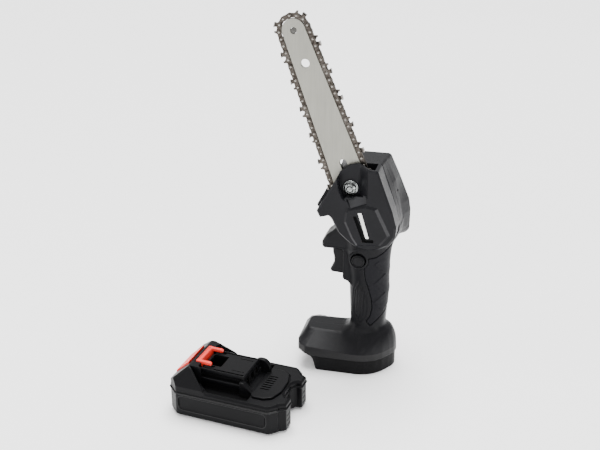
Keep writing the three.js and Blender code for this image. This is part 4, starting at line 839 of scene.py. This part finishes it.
    # painted shade (index 1) on the vents, catch recess, contact slots, the shade under the rails, the skirt channels
    # and the slot lines
    def pick(c):
        a, b, e_ = c[:, 0], c[:, 1], c[:, 2]
        vent = (a > 80.2) & (a < 90) & (b > 25.8) & (b < 50) & (e_ < 30.3)
        rec = (a > 26.5) & (a < 41.5) & (b > 27.5) & (b < 46.5) & (e_ < 41.9)
        slot_ = (a > 58) & (a < 72) & (b > 24.9) & (b < 49.1) & (e_ > 30.9) & (e_ < 38.3)
        neckd = (a > 24) & (a < 66.2) & ((np.abs(b - 37) < 17.0) & (np.abs(b - 37) > 13)) & (e_ > 34.4) & (e_ < 39.4)
        chan = (e_ < 28.2) & (a > 23) & (a < 77.4) & (np.minimum(b, 74 - b) > 4.2) & (np.minimum(b, 74 - b) < 20.4)
        mid = np.abs(b - 37)
        lines = (a > 28.5) & (a < 67) & (mid > 14.4) & (mid < 16.4) & (e_ < 42.1) & (e_ > 40.2)
        lines = lines | ((a > 51.5) & (a < 65.5) & (mid > 9.6) & (mid < 11.2) & (e_ < 42.1) & (e_ > 41.2))
        return (vent | rec | slot_ | neckd | chan | lines).astype(np.int32)
    skin("pack_upper", V, d, [M_PACK, M_PAINTED_SHADE], "battery", ["battery_upper_case"], pick, True)


pack_lower()
pack_upper()


def latch():
    V = Vol((-0.9, 19.6, 30.4), (35, 54.4, 48.6), 0.22)
    u, v, w = V.X, V.Y, V.Z
    # push plate that follows the ramp
    top = ((w - F(33.6)) * F(12) - (u - F(0.2)) * F(11.2)) / F(16.41)
    bot = -((w - F(31.6)) * F(10.2) - (u - F(2.0)) * F(8.6)) / F(13.3)
    pl = smax(smax(top, np.abs(v - F(37)) - F(15.9), 1.2), F(0.4) - u, 0.8)
    pl = np.maximum(np.maximum(pl, u - F(13.1)), np.minimum(bot, F(2.6) + top * F(0) + bot * 0 + F(99)))
    pl = np.maximum(pl, -(top + F(2.5)))
    for i in range(5):
        uu = F(3.2 + i * 1.9)
        rib = np.abs(u - uu + (w - F(36.4) - (uu - F(3.2)) * F(0.93)) * F(0.93)) - F(0.34)
        pl = np.maximum(pl, -np.maximum(np.maximum(rib, np.abs(v - F(37)) - F(11.5)), -(top + F(0.45))))
    neckb = bx(V, 11.5, 20.5, 30, 44, 38.8, 41.6, 0.4)
    hook = bx(V, 18.8, 23.2, 23, 51, 38.6, 47.2, 1.4)
    a1 = bx(V, 19.4, 33.5, 23, 26.4, 43.9, 47.2, 1.2)
    a2 = bx(V, 19.4, 33.5, 47.6, 51, 43.9, 47.2, 1.2)
    tipcut = ((w - F(47.2)) * F(0.8) + (u - F(31.8)) * F(0.6))
    d = np.minimum(np.minimum(pl, neckb), smin(hook, smax(np.minimum(a1, a2), tipcut, 0.6), 0.8))
    d = np.maximum(d, -np.maximum(bx(V, 19.8, 22.2, 26, 48, 46.5, 60, 0.3), F(46.5) - w))
    skin("latch_moulding", V, d, M_RED, "battery_latch", ["battery_latch"], None, True)


latch()

# ------------------------------------------------------------------ metal parts
CT, ST = math.cos(TILT), math.sin(TILT)


def bar_xyz(t, s, y):
    """bar coordinates (across, along, outwards) to the saw's millimetres"""
    return (SPR[0] + t * CT + s * ST, BARY + y, SPR[1] - t * ST + s * CT)


def inset2(P, d):
    """moves a closed outline inwards by d, corners limited"""
    P = np.asarray(P, float)
    area = 0.5 * np.sum(P[:, 0] * np.roll(P[:, 1], -1) - np.roll(P[:, 0], -1) * P[:, 1])
    s = 1 if area > 0 else -1
    e = np.roll(P, -1, 0) - P
    e /= np.maximum(np.linalg.norm(e, axis=1, keepdims=True), 1e-9)
    n = np.stack([-e[:, 1], e[:, 0]], 1) * s
    m = n + np.roll(n, 1, 0)
    k = np.maximum(1 + np.sum(n * np.roll(n, 1, 0), 1), 0.4)
    return P + d * m / k[:, None]


def plate(outer, holes, y0, y1, bev):
    """bevelled plate with holes: vertices (a, y, b) and triangles"""
    from mathutils.geometry import tessellate_polygon
    verts, tris = [], []
    loops = [np.asarray(outer, float)] + [np.asarray(h, float) for h in holes]
    caps = {y0: [], y1: []}
    idx = {y0: [], y1: []}
    for i, P in enumerate(loops):
        ins = inset2(P, bev if i == 0 else -bev)
        base = len(verts)
        n = len(P)
        area = np.sum(P[:, 0] * np.roll(P[:, 1], -1) - np.roll(P[:, 0], -1) * P[:, 1])
        flip = (area < 0) ^ (i > 0)
        for Q, y in ((ins, y0), (P, y0 + bev), (P, y1 - bev), (ins, y1)):
            verts += [(q[0], y, q[1]) for q in Q]
        for r in range(3):
            for k in range(n):
                a, b = base + r * n + k, base + r * n + (k + 1) % n
                c, d = a + n, b + n
                t = [(a, c, d), (a, d, b)]
                tris += [x[::-1] for x in t] if flip else t
        caps[y0].append([Vector((q[0], q[1], 0)) for q in ins])
        caps[y1].append([Vector((q[0], q[1], 0)) for q in ins])
        idx[y0] += [base + k for k in range(n)]
        idx[y1] += [base + 3 * n + k for k in range(n)]
    V_ = np.array(verts)
    for y in (y0, y1):
        for t in tessellate_polygon(caps[y]):
            q = [idx[y][k] for k in t]
            a, b, c = (V_[k] for k in q)
            nrm = np.cross(b - a, c - a)[1]
            if (nrm > 0) != (y == y1):
                q = q[::-1]
            tris.append(tuple(q))
    return V_, np.array(tris)


def weld(name, pieces, mats, body, rep, idx=None, smooth=False):
    """several (vertices, triangles[, material]) shapes as one piece"""
    vs, fs, mi = [], [], []
    n = 0
    for p in pieces:
        vs.append(np.asarray(p[0], float))
        fs.append(np.asarray(p[1]) + n)
        mi += [p[2] if len(p) > 2 else 0] * len(p[1])
        n += len(p[0])
    return put(name, np.concatenate(vs), np.concatenate(fs), mats, body, rep, smooth, mi)


def arc2(cx, cy, r, a0, a1, n):
    return [(cx + r * math.cos((a0 + (a1 - a0) * i / n) * RAD), cy + r * math.sin((a0 + (a1 - a0) * i / n) * RAD)) for i in range(n + 1)]


def half_w(s):
    return 15.35 if s < 48 else 15.35 + (10.9 - 15.35) * (s - 48) / 136.0


def in_bar(v):
    v = np.asarray(v)
    return np.stack([SPR[0] + v[:, 0] * CT + v[:, 2] * ST, BARY + v[:, 1], SPR[1] - v[:, 0] * ST + v[:, 2] * CT], 1)


# guide bar: three plies so that the groove for the drive links shows at its edge
right = [(9.0, 20.0), (13.4, 22.6), (15.35, 30), (15.35, 48)] + [(half_w(s), s) for s in np.linspace(60, 184, 20)]
edge = right + arc2(0, 188.4, 10.8, -14, 194, 60)[1:] + [(-a, b) for a, b in right[::-1]]
slot_hole = arc2(0, 60.4, 3.3, 0, 180, 16) + arc2(0, 28, 3.3, 180, 360, 16)
round_hole = arc2(-0.5, 157.8, 4.0, 0, 360, 40)[:-1]
pin_hole = arc2(9.6, 34, 2.35, 0, 360, 24)[:-1]
oil_hole = arc2(-9.6, 34, 1.7, 0, 360, 20)[:-1]
riv_hole = arc2(0, 188.4, 2.95, 0, 360, 28)[:-1]
PL = []
for y0, y1 in ((-1.5, -0.65), (0.65, 1.5)):
    v, f = plate(edge, [slot_hole, round_hole, pin_hole, riv_hole], y0, y1, 0.16)
    PL.append((in_bar(v), f))
core = [(a * (1 - 4.6 / max(abs(a), 10.9)), b + (3 if b < 25 else 0)) for a, b in right] + arc2(0, 170, 6.9, 0, 180, 24) + \
    [(-a * (1 - 4.6 / max(abs(a), 10.9)), b + (3 if b < 25 else 0)) for a, b in right[::-1]]
core = [(a, min(b, 176)) for a, b in core]
core_out = [(9.0 - 3.2, 23.2), (10.6, 26), (10.7, 48)] + [(half_w(s) - 4.6, s) for s in np.linspace(60, 168, 12)] + arc2(0, 169, 6.6, 10, 170, 14) + \
    [(-(half_w(s) - 4.6), s) for s in np.linspace(168, 60, 12)] + [(-10.7, 48), (-10.6, 26), (-5.8, 23.2)]
v, f = plate(core_out, [slot_hole, round_hole, arc2(8.6, 34, 1.2, 0, 360, 12)[:-1]], -0.649, 0.649, 0.0)
PL.append((in_bar(v), f))
weld("bar_plies", PL, M_BAR, "bar", ["guide_bar"])

# nose: toothed wheel between the plies, staked rivet
teeth = []
for i in range(6):
    a = 60 * i
    teeth += [(6.3 * math.cos((a - 25) * RAD), 188.4 + 6.3 * math.sin((a - 25) * RAD))]
    for r, q in ((7.4, -17), (8.5, -11), (8.8, -6), (8.8, 6), (8.5, 11), (7.4, 17), (6.3, 25)):
        teeth.append((r * math.cos((a + q) * RAD), 188.4 + r * math.sin((a + q) * RAD)))
v, f = plate(teeth, [arc2(0, 188.4, 2.9, 0, 360, 24)[:-1]], -0.42, 0.42, 0.1)
weld("nose_wheel_toothed", [(in_bar(v), f)], M_CHAIN, "nose_wheel", ["nose_sprocket"])


def lathe(profile, t, s, n=48, thread=None):
    """revolved profile [(radius, y)], axis across the bar"""
    verts, tris = [], []
    m = len(profile)
    for i in range(n):
        a = 2 * math.pi * i / n
        for r, y in profile:
            verts.append((t + r * math.cos(a), y, s + r * math.sin(a)))
    for i in range(n):
        for k in range(m - 1):
            a, b = i * m + k, ((i + 1) % n) * m + k
            tris += [(a, a + 1, b + 1), (a, b + 1, b)]
    return np.array(verts), np.array(tris)


def orient(v, f):
    a, b, c = v[f[:, 0]], v[f[:, 1]], v[f[:, 2]]
    return (v, f) if np.sum(a * np.cross(b, c)) > 0 else (v, f[:, ::-1])


prof = [(0.001, -1.74), (1.2, -1.74), (1.5, -1.6), (1.75, -1.62), (2.1, -1.66), (2.45, -1.55), (2.62, -1.42), (2.5, -1.2), (2.5, 1.2), (2.62, 1.42), (2.45, 1.55), (2.1, 1.66), (1.5, 1.62), (1.2, 1.74), (0.001, 1.74)]
v, f = lathe(prof, 0, 188.4, 40)
v, f = orient(in_bar(v), f)
weld("nose_rivet_staked", [(v, f)], M_NOSE, "bar", ["nose_rivet"], smooth=True)

# ---- chain: pitch line round tail, edges and nose
DP = 2.35


def chain_path(d):
    P = (15.65, 30.0)
    L = math.hypot(*P)
    th = math.atan2(P[1], P[0]) - math.acos(12.7 / L)
    seq = [(-(half_w(s) + 0.3 + d), s) for s in (184.0, 150.0, 116.0, 80.0)] + [(-(15.65 + d), 48.0), (-(15.65 + d), 30.0)]
    n = 60
    for i in range(n + 1):
        a = math.pi - th + (math.pi + 2 * th) * i / n
        seq.append(((12.7 + d) * math.cos(a), (12.7 + d) * math.sin(a)))
    seq += [((15.65 + d), 30.0), ((15.65 + d), 48.0)] + [((half_w(s) + 0.3 + d), s) for s in (80.0, 116.0, 150.0, 184.0)]
    seq += arc2(0, 188.4, 11.1 + d, 1, 179, 60)
    return np.array(seq)


path = chain_path(DP)
seg = np.linalg.norm(np.roll(path, -1, 0) - path, axis=1)
cum = np.concatenate([[0], np.cumsum(seg)])
LEN = cum[-1]
NR = 72
PITCH = LEN / NR


def at(q):
    q = q % LEN
    i = min(int(np.searchsorted(cum, q, side="right")) - 1, len(seg) - 1)
    f_ = (q - cum[i]) / seg[i]
    return path[i] * (1 - f_) + path[(i + 1) % len(path)] * f_


PHASE = None
s_at = lambda q: at(q)[1]
start_s = 184.0
# first left-hand cutter sits 172 mm from the drive axis on the front edge
base_q = 184.0 - 172.1 + 3.6
PHASE = base_q - PITCH / 2


def link_frame(i):
    a, b = at(PHASE + i * PITCH), at(PHASE + (i + 1) * PITCH)
    x = (b - a) / np.linalg.norm(b - a)
    n = np.array([-x[1], x[0]])
    c = (a + b) / 2
    # outwards: away from the bar's middle line
    o = c - np.array([0.0, min(max(c[1], 0.0), 188.4)])
    if n @ o < 0:
        n = -n
    return c, x, n


def place(v, fr, side=1):
    """link coordinates (along travel, y, outwards) to the saw"""
    c, x, n = fr
    v = np.asarray(v)
    P = c[None, :] + v[:, :1] * x[None, :] + v[:, 2:3] * n[None, :]
    return np.stack([SPR[0] + P[:, 0] * CT + P[:, 1] * ST, BARY + v[:, 1] * side, SPR[1] - P[:, 0] * ST + P[:, 1] * CT], 1)


h2 = PITCH / 2
STRAP = fil([(-h2 - 2.1, -1.2), (-h2 - 1.2, -2.3), (-h2 + 1.4, -2.3), (-0.8, -2.0), (0.8, -2.0), (h2 - 1.4, -2.3), (h2 + 1.2, -2.2), (h2 + 2.1, -1.2),
             (h2 + 2.2, 0.8), (h2 + 1.2, 2.2), (h2 - 1.2, 2.4), (0.8, 2.1), (-0.8, 2.1), (-h2 + 1.2, 2.4), (-h2 - 1.2, 2.2), (-h2 - 2.2, 0.8)], 0.7, 3)
CUT = fil([(-h2 - 2.3, -1.2), (-h2 - 1.3, -2.2), (h2 + 1.3, -2.2), (h2 + 2.3, -1.0), (h2 + 2.4, 1.6), (h2 + 1.5, 4.6), (h2 + 0.1, 5.0), (h2 - 0.3, 3.2),
           (1.0, 1.5), (-0.2, 1.6), (-0.9, 3.2), (-0.7, 5.35), (-3.1, 5.25), (-5.0, 4.75), (-4.6, 2.9), (-h2 - 2.3, 1.2)], 0.35, 2)
TANG = fil([(-h2 - 1.6, -0.9), (-h2 + 0.2, -1.6), (-2.2, -2.6), (-1.7, -5.3), (0.2, -6.0), (1.9, -5.0), (2.4, -2.7), (h2 - 0.2, -1.6), (h2 + 1.6, -0.9),
            (h2 + 1.6, 1.2), (h2 + 0.3, 2.3), (1.2, 2.3), (-1.2, 2.3), (-h2 - 0.3, 2.3), (-h2 - 1.6, 1.2)], 0.5, 2)
TANG0 = [(a, max(b, -2.2)) for a, b in TANG]
straps, tangs, cutters, rivets = [], [], [], []
strap_m = plate(STRAP, [], 0.62, 1.58, 0.14)
cut_m = plate(CUT, [], 0.62, 1.66, 0.14)
tang_m = plate(TANG, [], -0.52, 0.52, 0.1)
tang_s = plate(fil([(-h2 - 1.6, -0.9), (-h2 + 0.2, -1.7), (h2 - 0.2, -1.7), (h2 + 1.6, -0.9), (h2 + 1.6, 1.2), (h2 + 0.3, 2.3), (1.2, 2.3), (-1.2, 2.3), (-h2 - 0.3, 2.3), (-h2 - 1.6, 1.2)], 0.5, 2), [], -0.52, 0.52, 0.1)
# top plate of a cutter: leans back over the chain, sharp front edge, chrome top
tv = []
for x, z0, z1, y0, y1 in ((-0.7, 4.55, 5.45, -1.35, 1.66), (-5.0, 3.95, 4.85, -0.95, 1.66)):
    tv += [(x, y0, z0), (x, y1, z0), (x, y1, z1), (x, y0, z1)]
tf = [(0, 1, 2), (0, 2, 3), (4, 6, 5), (4, 7, 6), (0, 4, 5), (0, 5, 1), (1, 5, 6), (1, 6, 2), (2, 6, 7), (2, 7, 3), (3, 7, 4), (3, 4, 0)]
top_m = (np.array(tv), np.array(tf))
riv_prof = [(0.001, -2.02), (0.5, -2.02), (0.85, -1.9), (1.0, -1.72), (1.0, -1.5), (0.9, -1.4), (0.9, 1.4), (1.0, 1.5), (1.0, 1.72), (0.85, 1.9), (0.5, 2.02), (0.001, 2.02)]
riv_v, riv_f = lathe(riv_prof, 0, 0, 14)


def add_to(lst, m, fr, side=1, mat=0):
    v, f = m
    P = place(v, fr, side)
    P, f = orient(P, np.asarray(f))
    lst.append((P, f, mat))


for i in range(NR):
    fr = link_frame(i)
    drive = i % 2 == 1
    if drive:
        tail = fr[0][1] < 26 or fr[0][1] > 186
        add_to(tangs, tang_s if tail else tang_m, fr)
    else:
        k = (i // 2) % 4
        side = {0: -1, 2: 1}.get(k)
        for s_ in (-1, 1):
            if side == s_:
                add_to(cutters, cut_m, fr, s_)
                add_to(cutters, top_m, fr, s_, 1)
            else:
                add_to(straps, strap_m, fr, s_)
    c = at(PHASE + i * PITCH)
    v = riv_v + np.array([0, 0, 0])
    P = np.stack([SPR[0] + (c[0] + v[:, 0]) * CT + (c[1] + v[:, 2]) * ST, BARY + v[:, 1], SPR[1] - (c[0] + v[:, 0]) * ST + (c[1] + v[:, 2]) * CT], 1)
    P, f = orient(P, riv_f)
    rivets.append((P, f))
weld("chain_straps", straps, M_CHAIN, "saw", ["chain"])
weld("chain_drive_links", tangs, M_CHAIN, "saw", ["chain"])
weld("chain_cutters", cutters, [M_TOOTH, M_CHROME], "saw", ["chain"])
weld("chain_rivets", rivets, M_RIVET, "saw", ["chain"], smooth=True)

# ---- clamping stud, flange nut and plates
NY = -20.7
V = Vol((stud[0] - 8, -27.4, stud[1] - 8), (stud[0] + 8, -19.6, stud[1] + 8), 0.14)
X, Y, Z = V.X - F(stud[0]), V.Y, V.Z - F(stud[1])
r = np.sqrt(X * X + Z * Z)
ang = np.arctan2(Z, X)
fl = smax(r - F(7.1), np.maximum(Y - F(NY), F(NY - 1.15) - Y - np.clip((F(7.1) - r), 0, 2) * F(0.28)), 0.35)
hexd = None
for k in range(3):
    a = (30 + 60 * k) * RAD - TILT
    q = np.abs(X * F(math.cos(a)) + Z * F(math.sin(a))) - F(4.95)
    hexd = q if hexd is None else smax(hexd, q, 0.35)
hexd = smax(hexd, np.maximum(F(NY - 6.0) - Y, Y - F(NY - 0.4)), 0.2)
hexd = smax(hexd, (r - F(5.1)) * F(0.5) + (F(NY - 5.1) - Y) * F(0.87), 0.25)
d = smin(fl, hexd, 0.4)
thr = F(0.22) * np.sin(ang + Y * F(2 * math.pi / 1.0))
d = np.maximum(d, F(3.3) - r)
# a fine ring groove near the flange edge
d = np.maximum(d, -np.maximum(np.abs(r - F(6.35)) - F(0.12), Y - F(NY - 0.9)))
skin("nut_flanged", V, d, M_ZINC, "bar_nut", ["bar_nut"])

V = Vol((stud[0] - 6.6, -27.5, stud[1] - 6.6), (stud[0] + 6.6, -1.3, stud[1] + 6.6), 0.16)
X, Y, Z = V.X - F(stud[0]), V.Y, V.Z - F(stud[1])
r = np.sqrt(X * X + Z * Z)
ang = np.arctan2(Z, X)
zone = np.clip((F(-12.5) - Y) * 2, 0, 1)
d = r - F(2.95) + zone * (F(0.26) - F(0.26) * np.cos(ang - Y * F(2 * math.pi / 1.0)))
d = np.maximum(d, np.maximum(F(-27.2) - Y, Y + F(2.6)))
d = smax(d, r * F(0.7) + (F(-27.2) - Y) * F(0.7) - F(1.5), 0.15)
hx = None
for k in range(3):
    a = (30 + 60 * k) * RAD - TILT
    q = np.abs(X * F(math.cos(a)) + Z * F(math.sin(a))) - F(4.85)
    hx = q if hx is None else smax(hx, q, 0.3)
hx = smax(hx, np.maximum(F(-4.7) - Y, Y + F(1.6)), 0.3)
d = np.minimum(d, hx)
skin("stud_threaded", V, d, M_ZINC, "saw", ["bar_stud"])

pl_hole = arc2(0, 37.2, 3.3, 0, 360, 32)[:-1]
pl_out = fil([(-7, 27), (7, 27), (7, 54), (-7, 54)], 2.2, 6)
pl_tongue = fil([(-7, 27), (7, 27), (7, 54), (4.4, 55), (4.2, 60.6), (3.0, 63.0), (0.8, 63.2), (-1.4, 61.0), (-3.2, 58.4), (-3.8, 55), (-7, 54)], [2.2, 2.2, 2, 1, 1, 1, 1, 1, 1, 1, 2], 5)
for nm, y0, y1, node in (("plate_inner", 1.8, 2.6, "bar_plate_inner"), ("plate_outer", -2.4, -1.8, "bar_plate_outer")):
    v, f = plate(pl_tongue if y0 > 0 else pl_out, [pl_hole], y0, y1, 0.14)
    weld(nm, [(in_bar(v), f)], M_PLATE, "saw", [node])

# drive sprocket with rim and hub
sp = []
for i in range(7):
    a = (i + 0.5) * 360 / 7
    sp.append((8.5 * math.cos((a - 25.7) * RAD), 8.5 * math.sin((a - 25.7) * RAD)))
    for r_, q in ((8.9, -18), (11.2, -13), (12.0, -9), (12.2, -6), (12.2, 6), (12.0, 9), (11.2, 13), (8.9, 18)):
        sp.append((r_ * math.cos((a + q) * RAD), r_ * math.sin((a + q) * RAD)))
hole = arc2(0, 0, 4.3, 0, 360, 30)[:-1]
v, f = plate(sp, [hole], -1.6, 1.6, 0.25)
P1 = (v + (0, 0, 0), f)
v2, f2 = plate(arc2(0, 0, 7.0, 0, 360, 40)[:-1], [hole], -2.4, 6.1, 0.3)
to_x = lambda v: np.stack([SPR[0] + v[:, 0], BARY + v[:, 1], SPR[1] + v[:, 2]], 1)
weld("sprocket_wheel", [(to_x(v), f), (to_x(v2), f2)], M_CHAIN, "drive_output", ["sprocket"])

# ------------------------------------------------------------------ camera, light, floor
def to_scene(x, y, z):
    return ((x + OX) / 1000, (y + OY) / 1000, z / 1000)


cam = bpy.data.cameras.new("camera")
cam.lens = 59.95
cam.sensor_width = 36.0
cam.clip_start = 0.05
co = bpy.data.objects.new("camera", cam)
co.location = to_scene(164.62, -862.55, 526.35)
co.rotation_euler = (66.46 * RAD, 0, 13.69 * RAD)
bpy.context.scene.collection.objects.link(co)
bpy.context.scene.camera = co


def area(name, loc, target, size, power, col=(1, 1, 1)):
    l = bpy.data.lights.new(name, "AREA")
    l.shape = "RECTANGLE"
    l.size, l.size_y = size
    l.energy = power
    l.color = col
    o = bpy.data.objects.new(name, l)
    o.location = loc
    o.rotation_euler = (Vector(target) - Vector(loc)).to_track_quat("-Z", "Y").to_euler()
    bpy.context.scene.collection.objects.link(o)
    return o


area("left", (-1.2, -0.5, 0.55), (0, 0, 0.14), (0.7, 1.1), 8)
area("right", (1.0, -0.88, 0.3), (0.03, 0.0, 0.16), (0.5, 0.8), 8)
area("back", (0.25, 1.5, 0.8), (0, 0, 0.15), (2.2, 1.0), 1.5)
area("front", (-0.25, -1.5, 0.95), (0, 0, 0.16), (1.2, 0.6), 8.5)

sun = bpy.data.lights.new("overhead", "SUN")
sun.energy = 7.2
sun.angle = 46 * RAD
so = bpy.data.objects.new("overhead", sun)
so.rotation_euler = (-0.24, 0.0, 0.0)
bpy.context.scene.collection.objects.link(so)

w = bpy.data.worlds.new("studio")
bpy.context.scene.world = w
w.use_nodes = True
w.node_tree.nodes["Background"].inputs["Color"].default_value = (1, 1, 1, 1)
w.node_tree.nodes["Background"].inputs["Strength"].default_value = 0.8

fm = bpy.data.meshes.new("floor")
R = 6.0
fm.from_pydata([(-R, -R, 0), (R, -R, 0), (R, R, 0), (-R, R, 0)], [], [(0, 1, 2, 3)])
fo = bpy.data.objects.new("floor", fm)
m, t, b, _ = nodes_of("floor_white")
b.inputs["Base Color"].default_value = (0.97, 0.97, 0.97, 1)
b.inputs["Roughness"].default_value = 0.8
fm.materials.append(m)
bpy.context.scene.collection.objects.link(fo)
fo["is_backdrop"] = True

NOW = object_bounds()
plain = lambda q: [[float(c) for c in p] for p in q]
{"cad": plain(CAD_BOX), "visual": plain(NOW)}
